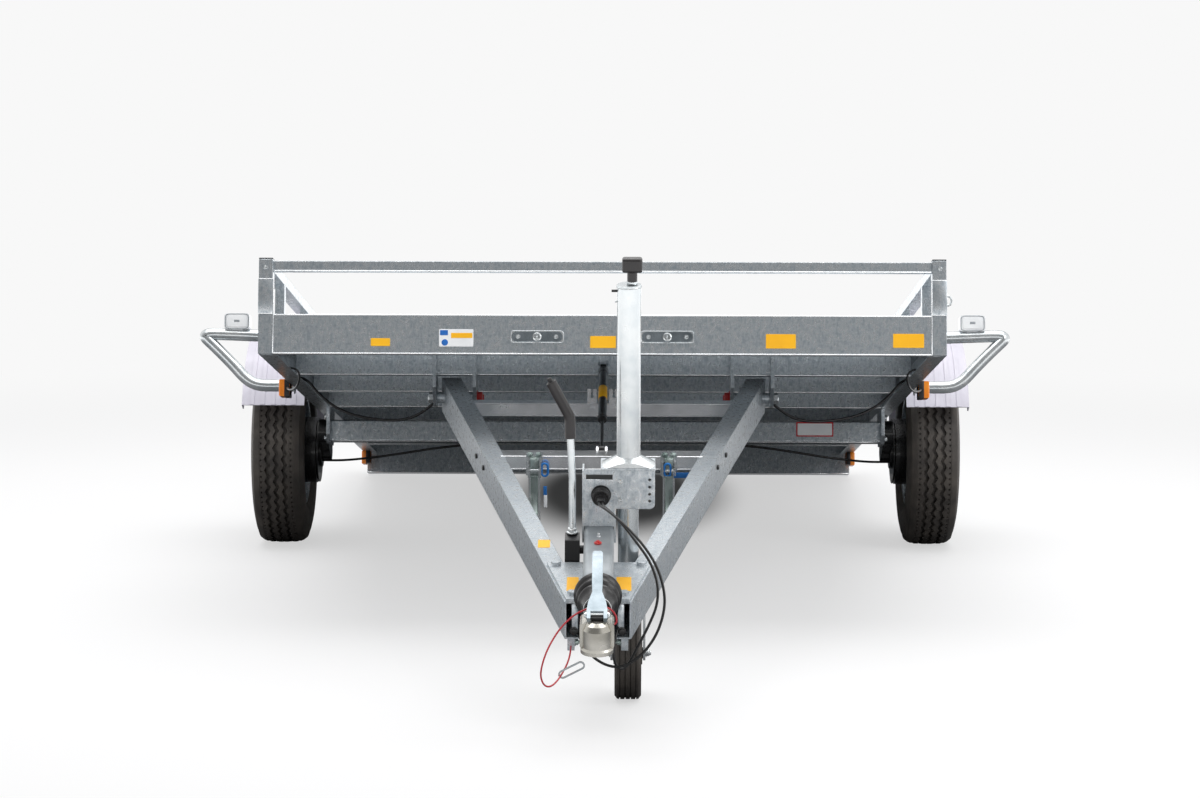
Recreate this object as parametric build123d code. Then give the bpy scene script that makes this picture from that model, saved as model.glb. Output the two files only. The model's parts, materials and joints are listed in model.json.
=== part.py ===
"""Single-axle tilting platform trailer, parked with its bed tipped to the floor at the rear.

Units are millimetres.  +Z is up, the coupling points to -Y, +X is the trailer's left-hand side seen
from the driver, which is the right-hand side seen from in front.

Two local frames are used and placed at the end:
  bed frame      y from the front board's outer face towards the rear, z from the underside of the
                 side members, both as if the bed were level
  drawbar frame  origin on the tilt pivot, the nose towards -y, z square to the drawbar
"""
import math
import os

from build123d import *

# ---- bed ----
bedWidth = 2000.0
bedLength = 4060.0
rimHeight = 115.0          # side members, front board and rear beam share this top edge
sheet = 3.0                # folded sheet of members and board
memberFlange = 50.0
boardLip = 32.0
deckUnderside = 85.0
deckThickness = 3.0
crossMemberFirst = 620.0
crossMemberPitch = 573.0
crossMemberCount = 6
crossMemberFlange = 45.0
rearBeamDepth = 70.0
rearBeamDrop = 80.0        # how far the rear beam hangs below the side members
postSize = 41.0
postTop = 277.0
postWall = 3.0
capHeight = 4.0
railHeight = 30.0
railDepth = 30.0
railTop = 272.0
sidePostStations = (350.0, 1100.0, 2040.0, 2980.0)
sidePostLength = 40.0
sidePostWidth = 28.0
seat = 0.3                 # clearance of welded or bolted pieces

# ---- running gear ----
tyreRadius = 325.0
tyreWidth = 183.0
halfTrack = bedWidth / 2 + 128
axleStation = 2042.0       # wheel axis in the bed frame
axleBelowBed = 129.0
rimSeatRadius = 177.0
rimFlangeRadius = 189.0
rimWidth = 150.0
rimWall = 4.0
drumRadius = 115.0
drumInner = halfTrack - 116
drumOuter = halfTrack - 56
backplateSheet = 4.0
backplateBoss = 10.0
boltCircle = 56.0
boltCount = 5
ventCount = 10
beamSize = 74.0
beamLead = 150.0           # torsion beam ahead of the wheel axis
beamBelowBed = 76.0
beamHalfLength = halfTrack - 178
axlePlateThickness = 12.0
stubRadius = 17.0
cableAnchor = halfTrack - 676        # tabs under the beam for the brake cables' inner ends
cableTab = 18.0
mudguardRadius = 400.0
mudguardInner = halfTrack - 102
mudguardOuter = halfTrack + 111
mudguardSheet = 4.0
mudguardStart = 18.0       # degrees above level at each end
mudguardRibs = 5
stayHalf = 15.0
stayThickness = 6.0
guardTube = 36.0
guardWall = 3.0
guardReach = bedWidth / 2 + 284      # where the middle lines of its upper and rising runs meet
guardElbow = bedWidth / 2 + 143      # where its lower run turns up
guardHeight = 168.0
guardFoot = 9.0
lampCentre = bedWidth / 2 - 170      # tail lamps, from the middle of the bed
lampWidth = 236.0
lampHeight = 136.0
lampMiddle = 20.0
lampStandsOut = 8.0
positionLampCentre = guardReach - 94
positionLampWidth = 82.0
positionLampHeight = 52.0
frontMarkerStation = 955.0
rearMarkerStation = bedLength - 180
markerLength = 68.0
markerHeight = 54.0
markerMiddle = -14.0

# ---- tilt pivot and drawbar ----
pivotStation = 674.0
pivotBelowBed = 66.0
drawbarDrop = 10.4         # degrees that the drawbar slopes down to the nose
pivotBoltRadius = 10.0
pivotRunning = 0.08
bushRadius = 17.0
armRearCentre = 465.0
plateOuterFace = armRearCentre + 51      # inner faces of the two plates that hold one arm
plateInnerFace = armRearCentre - 63
plateThickness = 10.0
armNoseCentre = 57.7
armReach = 2040.0
armTail = 45.0
armTop = 51.0
armRearBottom = -58.0
armNoseBottom = -47.0
armRearWidth = 58.0
armNoseWidth = 50.0
armWall = 4.0
lugFront = armReach - 6    # hanging lug under each arm's end
lugLength = 26.0
lugBottom = -80.0
crossbarReach = 212.0
crossbarSize = 40.0
latchBeamReach = 760.0
latchBeamDepth = 60.0
latchBeamHeight = 40.0
latchOffset = 193.0
nosePlateRear = armReach - 286
nosePlateThickness = 8.0
housingRear = armReach - 480
housingFront = armReach + 5
housingHalfWidth = 38.5
housingTopRear = 132.0
housingTopFront = 124.0
shaftHeight = 74.0
shaftRadius = 22.0
shaftInHousing = 90.0
bellowsLength = 124.0
ballRadius = 25.0
ballReach = housingFront + 267
ballHeight = 60.0
headHalfWidth = 42.0
neckHalfWidth = 33.0
domeRadius = 35.0
headBottom = 20.0
handleEnd = ballReach - 214
handleEndHeight = 206.0
handleHalfWidth = 13.0
handleThickness = 14.0
brakeStation = armReach - 350      # handbrake pivot, reach from the tilt pivot
brakeSide = -69.5
coverTop = 119.0
coverBottom = 34.0
leverRadius = 9.5
gripRadius = 14.0
leverTop = 369.0
leverEnd = -(brakeStation - 18)
tabCentre = 33.0           # upright tabs on the crossbar, each side of the damper
tabHalf = 14.0
tabRise = 46.0

# ---- jockey ----
jockeyOffset = 76.0
jockeyReach = armReach - 400
jockeyTubeRadius = 31.0
jockeyTubeWall = 3.0
jockeyTubeTop = 771.0
jockeyLegTop = 700.0
jockeyLegRadius = 27.0
jockeyLegWall = 4.0
jockeyStopRadius = 30.0
jockeyWheelRadius = 121.5
jockeyWheelWidth = 70.0
jockeyTrail = -32.0        # the wheel runs ahead of its leg as parked
jockeyAxleRadius = 8.0
knobOffset = 8.0
towerFront = jockeyReach + 40
towerTop = 286.0
towerHalfWidth = 44.0
towerFoot = 88.0
towerDepth = 80.0
wingEdge = 145.0
wingBottom = 180.0
collarHeight = 22.0
jockeyTubeBottom = towerTop + 14
plugX = 5.0
plugHeight = 219.0
plugRingRadius = 22.0
plugBore = 14.0

# ---- damper ----
damperEyeStation = 590.0
damperEyeHeight = 20.0
damperFootReach = latchBeamReach - 48
damperFootHeight = 48.0
damperTubeRadius = 13.0
damperRodRadius = 5.0
damperTubeShare = 0.65     # of the distance between the eyes
damperPin = 5.0
footEyeBore = 7.0          # rubber-bushed, so that the eye can shift on its pin

# ---- worked out ----
reachBack = bedLength - axleStation
dropBack = axleBelowBed - rearBeamDrop
tipAngle = math.degrees(math.asin(tyreRadius / math.hypot(reachBack, dropBack))
                        + math.atan2(dropBack, reachBack))

os.makedirs("parts", exist_ok=True)
bedFrame = Pos(0, 0, tyreRadius) * Rot(X=-tipAngle) * Pos(0, -axleStation, axleBelowBed)
drawbarFrame = bedFrame * Pos(0, pivotStation, -pivotBelowBed) * Rot(X=tipAngle + drawbarDrop)


def block(x0, x1, y0, y1, z0, z1):
    return Pos((x0 + x1) / 2, (y0 + y1) / 2, (z0 + z1) / 2) * Box(x1 - x0, y1 - y0, z1 - z0)


def rod(x, y, z, radius, length, axis):
    """Cylinder centred on a point, along X, Y or Z."""
    turn = {"X": Rot(Y=90), "Y": Rot(X=90), "Z": Rot(X=0)}[axis]
    return Pos(x, y, z) * turn * Cylinder(radius, length)


def sideProfile(points, x0, x1):
    """Closed outline in (y, z) extruded from x0 to x1."""
    face = make_face(Polyline([Vector(x0, y, z) for y, z in points], close=True))
    return extrude(face, x1 - x0, dir=(1, 0, 0))


def planProfile(points, z0, z1):
    """Closed outline in (x, y) extruded from z0 to z1."""
    face = make_face(Polyline([Vector(x, y, z0) for x, y in points], close=True))
    return extrude(face, z1 - z0, dir=(0, 0, 1))


def crossProfile(points, y0, y1):
    """Closed outline in (x, z) extruded from y0 to y1."""
    face = make_face(Polyline([Vector(x, y0, z) for x, z in points], close=True))
    return extrude(face, y1 - y0, dir=(0, 1, 0))


def bothSides(shape):
    return [shape, mirror(shape, about=Plane.YZ)]


def squareTube(x0, x1, y0, y1, z0, z1, wall, axis):
    grow = {"X": (wall, 0, 0), "Y": (0, wall, 0), "Z": (0, 0, wall)}[axis]
    inner = block(x0 + wall - 2 * grow[0], x1 - wall + 2 * grow[0],
                  y0 + wall - 2 * grow[1], y1 - wall + 2 * grow[1],
                  z0 + wall - 2 * grow[2], z1 - wall + 2 * grow[2])
    return block(x0, x1, y0, y1, z0, z1) - inner


def bentRod(points, bend, radius):
    path = FilletPolyline(*points, radius=bend)
    return sweep(Plane(origin=path @ 0, z_dir=path % 0) * Circle(radius), path=path)


# ---------------------------------------------------------------- bed
halfWidth = bedWidth / 2
postInner = halfWidth - postSize
memberEnd = bedLength - rearBeamDepth


def makeFrontBoard():
    lipped = [(0, 0), (boardLip, 0), (boardLip, sheet), (sheet, sheet),
              (sheet, rimHeight - sheet), (boardLip, rimHeight - sheet), (boardLip, rimHeight),
              (0, rimHeight)]
    return sideProfile(lipped, -postInner + seat, postInner - seat)


def makeCornerPosts():
    front = squareTube(postInner, halfWidth, 0, postSize, 0, postTop, postWall, "Z")
    rear = squareTube(postInner, halfWidth, bedLength - postSize, bedLength,
                      rimHeight, postTop, postWall, "Z")
    return bothSides(front) + bothSides(rear)


def makePostCaps():
    caps = []
    for y0 in (0, bedLength - postSize):
        top = block(postInner, halfWidth, y0, y0 + postSize, postTop, postTop + capHeight)
        plug = block(postInner + postWall + 0.5, halfWidth - postWall - 0.5,
                     y0 + postWall + 0.5, y0 + postSize - postWall - 0.5, postTop - 8, postTop)
        caps += bothSides(fillet(top.edges().group_by(Axis.Z)[-1], 1.5) + plug)
    return caps


def makeFrontRail():
    y0 = (postSize - railDepth) / 2
    return squareTube(-postInner + seat, postInner - seat, y0, y0 + railDepth,
                      railTop - railHeight, railTop, 2.5, "X")


def makeSideRails():
    rail = squareTube(postInner, halfWidth, postSize + seat, bedLength - postSize - seat,
                      railTop - railHeight, railTop, 2.5, "Y")
    return bothSides(rail)


def makeSidePosts():
    posts = []
    x0 = postInner
    for station in sidePostStations:
        post = squareTube(x0, x0 + sidePostWidth, station - sidePostLength / 2,
                          station + sidePostLength / 2, rimHeight, railTop - railHeight, 2.5, "Z")
        posts += bothSides(post)
    return posts


def makeSideMembers():
    outer = halfWidth
    outline = [(outer, 0), (outer, rimHeight), (outer - memberFlange + 10, rimHeight),
               (outer - memberFlange + 10, rimHeight - sheet), (outer - sheet, rimHeight - sheet),
               (outer - sheet, sheet), (outer - memberFlange, sheet), (outer - memberFlange, 0)]
    return bothSides(crossProfile(outline, postSize + seat, memberEnd - seat))


def makeCrossMembers():
    half = halfWidth - memberFlange - seat
    members = []
    for index in range(crossMemberCount):
        y0 = crossMemberFirst + index * crossMemberPitch
        y1 = y0 + crossMemberFlange
        outline = [(y0, 0), (y1, 0), (y1, sheet), (y0 + sheet, sheet), (y0 + sheet, deckUnderside - sheet),
                   (y1, deckUnderside - sheet), (y1, deckUnderside), (y0, deckUnderside)]
        members.append(sideProfile(outline, -half, half))
    lug = [(crossMemberFirst, damperEyeHeight - 22), (crossMemberFirst, damperEyeHeight + 22),
           (damperEyeStation - 4, damperEyeHeight + 13), (damperEyeStation - 13, damperEyeHeight + 4),
           (damperEyeStation - 13, damperEyeHeight - 4), (damperEyeStation - 4, damperEyeHeight - 13)]
    for x0 in (-16, 10):
        members[0] += sideProfile(lug, x0, x0 + 6)
    members[0] += rod(0, damperEyeStation, damperEyeHeight, damperPin, 32, "X")
    return members


def makeDeck():
    half = halfWidth - sheet - seat
    deck = block(-half, half, boardLip + seat, memberEnd - seat,
                 deckUnderside, deckUnderside + deckThickness)
    notch = block(postInner - seat, half + 5, 0, postSize + seat, 0, rimHeight)
    for cut in bothSides(notch):
        deck -= cut
    return deck


def makeRearBeam():
    y0 = memberEnd
    y1 = bedLength
    half = halfWidth - 10
    beam = squareTube(-half, half, y0, y1, -rearBeamDrop, rimHeight, sheet, "X")
    for side in (-1, 1):
        beam -= tailLampBox(side * lampCentre, y1 - 2 * sheet, y1 + 5, seat)
    return beam


def tailLampBox(centre, y0, y1, grow):
    return block(centre - lampWidth / 2 - grow, centre + lampWidth / 2 + grow, y0, y1,
                 lampMiddle - lampHeight / 2 - grow, lampMiddle + lampHeight / 2 + grow)


def makeTailLamps():
    lamp = tailLampBox(lampCentre, bedLength - 30, bedLength + lampStandsOut, 0)
    lamp = fillet(lamp.edges().filter_by(Axis.Y), 14)
    lamp = fillet(lamp.faces().sort_by(Axis.Y)[-1].edges(), 4)
    return bothSides(lamp)


def makeLashingPlates():
    plates = []
    for side in (-1, 1):
        plate = block(side * 189 - 77, side * 189 + 77, -4 - seat, -seat, 33, 69)
        plate = fillet(plate.edges().filter_by(Axis.Y), 17)
        ring = Pos(side * 189, -4 - seat, 51) * Rot(X=90) * (Cylinder(13, 3) - Cylinder(8, 4))
        plates.append(plate + ring)
    return plates


def makePivotBrackets():
    """Two plates for each arm, hung from the first cross member, and the back plate between them."""
    tabFront = crossMemberFirst - 40
    rearEdge = pivotStation + 64
    foot = -pivotBelowBed - 26
    outline = [(crossMemberFirst - seat, deckUnderside - 6), (tabFront, deckUnderside - 6), (tabFront, -42),
               (pivotStation - 34, foot), (pivotStation + 26, foot),
               (rearEdge, -30), (rearEdge, -seat), (crossMemberFirst - seat, -seat)]
    brackets = []
    hole = rod(0, pivotStation, -pivotBelowBed, pivotBoltRadius + seat, bedWidth, "X")
    for inner, outer in ((plateOuterFace, plateOuterFace + plateThickness),
                         (plateInnerFace - plateThickness, plateInnerFace)):
        brackets.append(sideProfile(outline, inner, outer) - hole)
    back = block(plateInnerFace, plateOuterFace, crossMemberFirst - 6, crossMemberFirst - seat,
                 8, deckUnderside - 10)
    bracket = brackets[0] + brackets[1] + back
    return bothSides(bracket)


def makePivotBolts():
    centre = (plateInnerFace + plateOuterFace) / 2
    length = plateOuterFace - plateInnerFace + 2 * plateThickness
    bolt = rod(centre, pivotStation, -pivotBelowBed, pivotBoltRadius, length + 36, "X")
    for sign, thick in ((1, 13), (-1, 16)):
        x = centre + sign * (length / 2 + seat + thick / 2)
        head = Pos(x, pivotStation, -pivotBelowBed) * Rot(Y=90) * extrude(
            RegularPolygon(17, 6), thick / 2, both=True)
        bolt += head
    return bothSides(bolt)


# ---------------------------------------------------------------- axle
beamY = axleStation - beamLead
beamZ = -beamBelowBed


def makeAxleBeam():
    """Square torsion tube with a tab under it for each brake cable."""
    half = beamSize / 2
    beam = block(-beamHalfLength, beamHalfLength, beamY - half, beamY + half, beamZ - half, beamZ + half)
    beam = fillet(beam.edges().filter_by(Axis.X), 6)
    beam -= block(-beamHalfLength - 5, beamHalfLength + 5, beamY - half + 4, beamY + half - 4,
                  beamZ - half + 4, beamZ + half - 4)
    under = beamZ - half
    tab = block(cableAnchor - 5, cableAnchor, beamY - 26, beamY + 2, under - cableTab, under)
    for shape in bothSides(tab):
        beam += shape
    return beam


def makeAxlePlates():
    plate = block(beamHalfLength + seat, beamHalfLength + seat + axlePlateThickness,
                  beamY - 95, beamY + 95, beamZ - 45, -seat)
    plate = chamfer(plate.edges().filter_by(Axis.X).group_by(Axis.Z)[0], 28)
    plate -= rod(beamHalfLength, beamY, beamZ, 22, 10 * axlePlateThickness, "X")
    return bothSides(plate)


def makeAxleArms():
    """Trailing arm, stub axle and brake backplate of each wheel."""
    x0 = beamHalfLength + axlePlateThickness + 2
    plateX = drumInner - 8
    x1 = plateX - backplateBoss + 2
    axis = (axleStation, -axleBelowBed)
    arm = rod((x0 + x1) / 2, beamY, beamZ, 42, x1 - x0, "X")
    arm += rod((x0 + x1) / 2, axis[0], axis[1], 36, x1 - x0, "X")
    dx, dz = axis[0] - beamY, axis[1] - beamZ
    length = math.hypot(dx, dz)
    nx, nz = -dz / length, dx / length
    web = [(beamY + nx * 38, beamZ + nz * 38), (axis[0] + nx * 32, axis[1] + nz * 32),
           (axis[0] - nx * 32, axis[1] - nz * 32), (beamY - nx * 38, beamZ - nz * 38)]
    arm += sideProfile(web, x0, x1)
    arm += rod(beamHalfLength + axlePlateThickness / 2, beamY, beamZ, 21, axlePlateThickness + 24, "X")
    arm += rod((x1 + halfTrack) / 2, axis[0], axis[1], stubRadius, halfTrack - x1, "X")
    backplate = rod(plateX + backplateSheet / 2, axis[0], axis[1], drumRadius - 2, backplateSheet, "X")
    backplate += rod(plateX - backplateBoss / 2 + 1, axis[0], axis[1], 60, backplateBoss, "X")
    arm += backplate
    return bothSides(arm)


def makeMudguard():
    """Half ring over the wheel with a turned-down outer lip and pressed ribs."""
    sweepAngle = 180 - 2 * mudguardStart

    def sector(radius, wall, x0, x1):
        ring = Circle(radius) - Circle(radius - wall)
        far = 4 * mudguardRadius
        level = far * math.cos(math.radians(mudguardStart))
        rise = far * math.sin(math.radians(mudguardStart))
        wedge = Polyline((0, 0), (level, rise), (far, 2 * far), (-far, 2 * far), (-level, rise), close=True)
        cut = ring & make_face(wedge)
        body = extrude(cut, x1 - x0)
        return Pos(x0, axleStation, -axleBelowBed) * Rot(Z=90) * Rot(X=90) * body

    guard = sector(mudguardRadius, mudguardSheet, mudguardInner, mudguardOuter)
    guard += sector(mudguardRadius, 34, mudguardOuter - mudguardSheet, mudguardOuter)
    pitch = (mudguardOuter - mudguardInner) / (mudguardRibs + 1)
    for index in range(1, mudguardRibs + 1):
        middle = mudguardInner + index * pitch
        guard += sector(mudguardRadius + 4, 6, middle - pitch / 5, middle + pitch / 5)
    return guard


def makeMudguardStays():
    """Angled flats from the side member, each tangent to the guard's underside."""
    under = mudguardRadius - mudguardSheet - 2 * seat
    stays = []
    for angle in (35, 145):
        flat = block(halfWidth + seat, mudguardOuter - 40, -stayHalf, stayHalf, under - stayThickness, under)
        foot = block(halfWidth + seat, halfWidth + stayThickness, -stayHalf, stayHalf, under - 45, under)
        stays += bothSides(Pos(0, axleStation, -axleBelowBed) * Rot(X=90 - angle) * (flat + foot))
    return stays


def makeSideGuards():
    """Bent pipe ahead of each wheel, from the side member out, up and back to the side post."""
    station = sidePostStations[1]
    postFace = postInner + sidePostWidth
    corner = (guardReach, station, guardHeight)
    rising = [(halfWidth + seat, station, guardFoot), (guardElbow, station, guardFoot), corner]

    def run(radius):
        length = guardReach - postFace - seat
        upper = rod(guardReach - length / 2, station, guardHeight, radius, length, "X")
        return bentRod(rising, 60, radius) + upper + Pos(*corner) * Sphere(radius)

    return bothSides(run(guardTube / 2) - run(guardTube / 2 - guardWall))


def makePositionLamps():
    station = sidePostStations[1]
    top = guardHeight + guardTube / 2
    half = positionLampWidth / 2
    lamp = block(positionLampCentre - half, positionLampCentre + half, station - 22, station + 22,
                 top + 4, top + 4 + positionLampHeight)
    lamp = fillet(lamp.edges().filter_by(Axis.Y), 10)
    foot = block(positionLampCentre - 17, positionLampCentre + 17, station - 12, station + 12,
                 top + seat, top + 8)
    return bothSides(lamp + foot)


def makeSideMarkers():
    """Front lamps stand out from the side members, rear lamps hang under them."""
    long = markerLength / 2
    tall = markerHeight / 2
    markers = []
    for station, base, middle in ((frontMarkerStation, halfWidth + seat, markerMiddle),
                                  (rearMarkerStation, halfWidth - 32, -tall - seat)):
        marker = block(base, base + 17, station - long, station + long, middle - tall + 5, middle + tall)
        lens = block(base + 17, base + 35, station - long, station + long, middle - tall, middle + tall)
        marker += fillet(lens.faces().sort_by(Axis.X)[-1].edges(), 6)
        markers += bothSides(marker)
    return markers


# ---------------------------------------------------------------- wheels
def revolveAboutX(points, centreX):
    """Closed outline in (x offset, radius) turned about the wheel axis."""
    face = make_face(Polyline([Vector(centreX + x, 0, r) for x, r in points], close=True))
    return Pos(0, axleStation, -axleBelowBed) * revolve(face, Axis.X, 360)


def makeTyre():
    half = tyreWidth / 2
    shoulder = tyreRadius - 12
    bead = rimSeatRadius + seat
    side = rimWidth / 2 - rimWall - 0.5
    clear = rimFlangeRadius + 1.5
    widest = (tyreRadius + rimSeatRadius) / 2
    outside = [(side, bead), (side, clear), (half - 6, clear + 22), (half, widest),
               (half - 10, shoulder - 12), (half - 22, shoulder + 4), (half - 43, tyreRadius - 1.5)]
    inside = [(half - 26, shoulder - 16), (half - 14, widest), (half - 22, clear + 22), (side - 15, bead)]
    outline = [(-x, r) for x, r in outside] + [(0, tyreRadius)] + outside[::-1]
    outline += inside[::-1] + [(-x, r) for x, r in inside]
    return revolveAboutX(outline, halfTrack)


def makeRim():
    half = rimWidth / 2
    seatR = rimSeatRadius
    well = seatR - 22
    t = rimWall
    outline = [(-half, rimFlangeRadius), (-half, seatR - t), (-46, seatR - t), (-34, well - t),
               (34, well - t), (46, seatR - t), (half, seatR - t), (half, rimFlangeRadius),
               (half - t, rimFlangeRadius), (half - t, seatR), (44, seatR), (32, well), (-32, well),
               (-44, seatR), (-half + t, seatR), (-half + t, rimFlangeRadius)]
    rim = revolveAboutX(outline, halfTrack)
    disc = [(8, 33), (8, 75), (26, 96), (26, 128), (10, well - t + 1), (10 - t, well - t + 1), (20, 126),
            (20, 98), (3, 77), (3, 33)]
    wheelDisc = revolveAboutX(disc, halfTrack)
    for index in range(ventCount):
        turn = Rot(X=index * 360 / ventCount)
        wheelDisc -= Pos(0, axleStation, -axleBelowBed) * turn * Pos(halfTrack + 20, 0, 113) * Rot(
            Y=90) * Cylinder(11, 60)
    for index in range(boltCount):
        turn = Rot(X=index * 360 / boltCount)
        wheelDisc -= Pos(0, axleStation, -axleBelowBed) * turn * Pos(halfTrack, 0, boltCircle) * Rot(
            Y=90) * Cylinder(8, 60)
    return rim + wheelDisc


def makeDrum():
    inner, outer = drumInner - halfTrack, drumOuter - halfTrack
    bore = stubRadius + pivotRunning
    outline = [(inner, drumRadius), (outer, drumRadius), (outer + 8, drumRadius - 8), (outer + 8, 60),
               (2.7, 60), (2.7, 32), (44, 32), (50, 26), (50, 0), (45, 0), (45, bore), (outer, bore),
               (outer, drumRadius - 10), (inner, drumRadius - 10)]
    return revolveAboutX(outline, halfTrack)


# ---------------------------------------------------------------- drawbar
def armCentre(reach):
    return armRearCentre + (armNoseCentre - armRearCentre) * reach / armReach


def armHalf(reach):
    skew = math.hypot(1, (armRearCentre - armNoseCentre) / armReach)
    return skew * (armRearWidth + (armNoseWidth - armRearWidth) * reach / armReach) / 2


def armInner(reach):
    return armCentre(reach) - armHalf(reach)


def makeArm():
    def shell(shrink, tail, nose):
        plan = [(armInner(tail) + shrink, -tail), (armCentre(tail) + armHalf(tail) - shrink, -tail),
                (armCentre(nose) + armHalf(nose) - shrink, -nose), (armInner(nose) + shrink, -nose)]
        slope = (armNoseBottom - armRearBottom) / armReach
        side = [(-tail, armTop - shrink), (-nose, armTop - shrink),
                (-nose, armRearBottom + slope * nose + shrink),
                (-tail, armRearBottom + slope * tail + shrink)]
        return planProfile(plan, -80, 80) & sideProfile(side, 0, bedWidth / 2)

    arm = shell(0, -armTail, armReach) - shell(armWall, -armTail - 20, armReach + 20)
    bush = rod((plateInnerFace + plateOuterFace) / 2, 0, 0, bushRadius,
               plateOuterFace - plateInnerFace - 2, "X")
    bore = rod(0, 0, 0, pivotBoltRadius + pivotRunning, bedWidth, "X")
    lug = block(armNoseCentre + 1, armNoseCentre + 19, -lugFront, -lugFront + lugLength,
                lugBottom, armNoseBottom + armWall / 2)
    return (arm + bush + lug) - bore


def spanBetweenArms(near, far, z0, z1, wall):
    """Tube across the drawbar whose ends follow the arms' inner faces."""
    def trapezoid(r0, r1, cut):
        return [(-(armInner(r0) - cut), -r0), (armInner(r0) - cut, -r0),
                (armInner(r1) - cut, -r1), (-(armInner(r1) - cut), -r1)]

    outer = planProfile(trapezoid(near, far, seat), z0, z1)
    inner = block(-bedWidth / 2, bedWidth / 2, -far + wall, -near - wall, z0 + wall, z1 - wall)
    return outer - inner


def makeCrossbar():
    near, far = crossbarReach - crossbarSize / 2, crossbarReach + crossbarSize / 2
    top = armTop - 3
    bar = spanBetweenArms(near, far, top - crossbarSize, top, 3)
    for x in (-tabCentre, tabCentre):
        tab = block(x - tabHalf, x + tabHalf, -far, -far + 6, top - 2, top + tabRise)
        slot = block(x - 3, x + 3, -far - 5, -far + 9, top + tabRise / 2, top + tabRise + 5)
        tab -= rod(x, -far + 3, top + tabRise / 2, 5, 20, "Y") + slot
        bar += tab
        bar += Pos(x, -far - 3, top - 20) * Rot(X=90) * extrude(RegularPolygon(11, 6), 4, both=True)
    return bar


def makeLatchBeam():
    near, far = latchBeamReach - latchBeamDepth / 2, latchBeamReach + latchBeamDepth / 2
    beam = spanBetweenArms(near, far, armTop - latchBeamHeight, armTop, 3)
    for x0 in (-16, 10):
        lug = [(-near, armTop - 32), (-near, armTop), (-damperFootReach - 8, damperFootHeight + 11),
               (-damperFootReach + 6, damperFootHeight + 10), (-damperFootReach + 12, damperFootHeight),
               (-damperFootReach + 8, damperFootHeight - 10)]
        beam += sideProfile(lug, x0, x0 + 6)
    beam += rod(0, -damperFootReach, damperFootHeight, damperPin, 32, "X")
    return beam


def makeToggleLatches():
    front = -(latchBeamReach + latchBeamDepth / 2) - seat
    latches = []
    for side in (-1, 1):
        x = side * latchOffset
        base = block(x - 24, x + 24, front - 4, front, -5, armTop + 14)
        for edge in (-20, 16):
            base += block(x + edge, x + edge + 4, front - 22, front - 3, 0, 40)
        bail = block(x - 17, x - 12, front - 16, front - 8, -130, 20)
        bail += block(x + 12, x + 17, front - 16, front - 8, -130, 20)
        bail += block(x - 17, x + 17, front - 16, front - 8, -138, -126)
        bail += rod(x, front - 12, 12, 5, 40, "X")
        latches.append(base + bail)
    return latches


def makeNosePlate():
    r0, r1 = nosePlateRear, armReach
    edge = [(-(armCentre(r0) + armHalf(r0) - 6), -r0), (armCentre(r0) + armHalf(r0) - 6, -r0),
            (armCentre(r1) + armHalf(r1) - 4, -r1), (-(armCentre(r1) + armHalf(r1) - 4), -r1)]
    plate = planProfile(edge, armTop + seat, armTop + seat + nosePlateThickness)
    plate -= block(-shaftRadius - 2, shaftRadius + 2, -armReach - 5,
                   -(housingFront - shaftInHousing - 5), 0, 100)
    for reach in (nosePlateRear + 21, armReach - 35):
        for side in (-1, 1):
            plate += Pos(side * armCentre(reach), -reach, armTop + seat + nosePlateThickness) * extrude(
                RegularPolygon(13, 6), 9)
    return plate


plateTop = armTop + seat + nosePlateThickness


def makeHousing():
    z0 = plateTop + seat
    outline = [(-housingRear, z0 + 20), (-housingRear, housingTopRear - 14),
               (-housingRear - 14, housingTopRear),
               (-towerFront, housingTopRear), (-housingFront, housingTopFront),
               (-housingFront, z0), (-nosePlateRear, z0), (-nosePlateRear + 60, z0 + 4)]
    body = sideProfile(outline, -housingHalfWidth, housingHalfWidth)
    shoulders = [edge for edge in body.edges() if edge.center().Z > housingTopFront - 8
                 and abs(edge.center().X) > housingHalfWidth - 1]
    body = fillet(shoulders, 12)
    return body - rod(0, -housingFront, shaftHeight, shaftRadius + seat, 2 * shaftInHousing + 4, "Y")


def makeBellows():
    start = housingFront + seat
    folds = ((0, 55), (7, 61), (14, 61), (25, 50), (37, 56), (44, 56), (54, 45), (66, 51), (72, 51),
             (80, 44), (bellowsLength, 33))
    inner = shaftRadius + 1.0
    points = [Vector(0, -start - y, shaftHeight + r) for y, r in folds]
    points += [Vector(0, -start - bellowsLength, shaftHeight + inner),
               Vector(0, -start, shaftHeight + inner)]
    face = make_face(Polyline(points, close=True))
    return revolve(face, Axis((0, 0, shaftHeight), (0, 1, 0)), 360)


def makeCouplingHead():
    """Shaft, neck, body behind the ball and a domed socket with a lip."""
    start = housingFront - shaftInHousing
    end = ballReach - 122
    shaft = rod(0, -(start + end) / 2, shaftHeight, shaftRadius, end - start, "Y")
    neck = block(-neckHalfWidth, neckHalfWidth, -ballReach + 40, -ballReach + 130,
                 shaftHeight - 40, shaftHeight + 14)
    neck = fillet(neck.edges().filter_by(Axis.Y), 10)
    body = block(-headHalfWidth, headHalfWidth, -ballReach - 4, -ballReach + 62, headBottom + 8,
                 ballHeight + 34)
    body = fillet(body.edges().filter_by(Axis.Y), 10)
    crown = ballHeight + 38
    socket = [(0, headBottom), (domeRadius + 5, headBottom), (domeRadius + 5, headBottom + 9),
              (domeRadius, headBottom + 14), (domeRadius, crown - 20), (domeRadius - 6, crown - 7),
              (domeRadius - 17, crown), (0, crown)]
    face = make_face(Polyline([Vector(x, 0, z) for x, z in socket], close=True))
    dome = Pos(0, -ballReach, 0) * revolve(face, Axis.Z, 360)
    head = shaft + neck + body + dome
    head -= Pos(0, -ballReach, ballHeight) * Sphere(ballRadius + 0.4)
    depth = ballHeight - headBottom + 10
    return head - Pos(0, -ballReach, ballHeight - depth / 2) * Cylinder(ballRadius + 0.4, depth)


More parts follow.
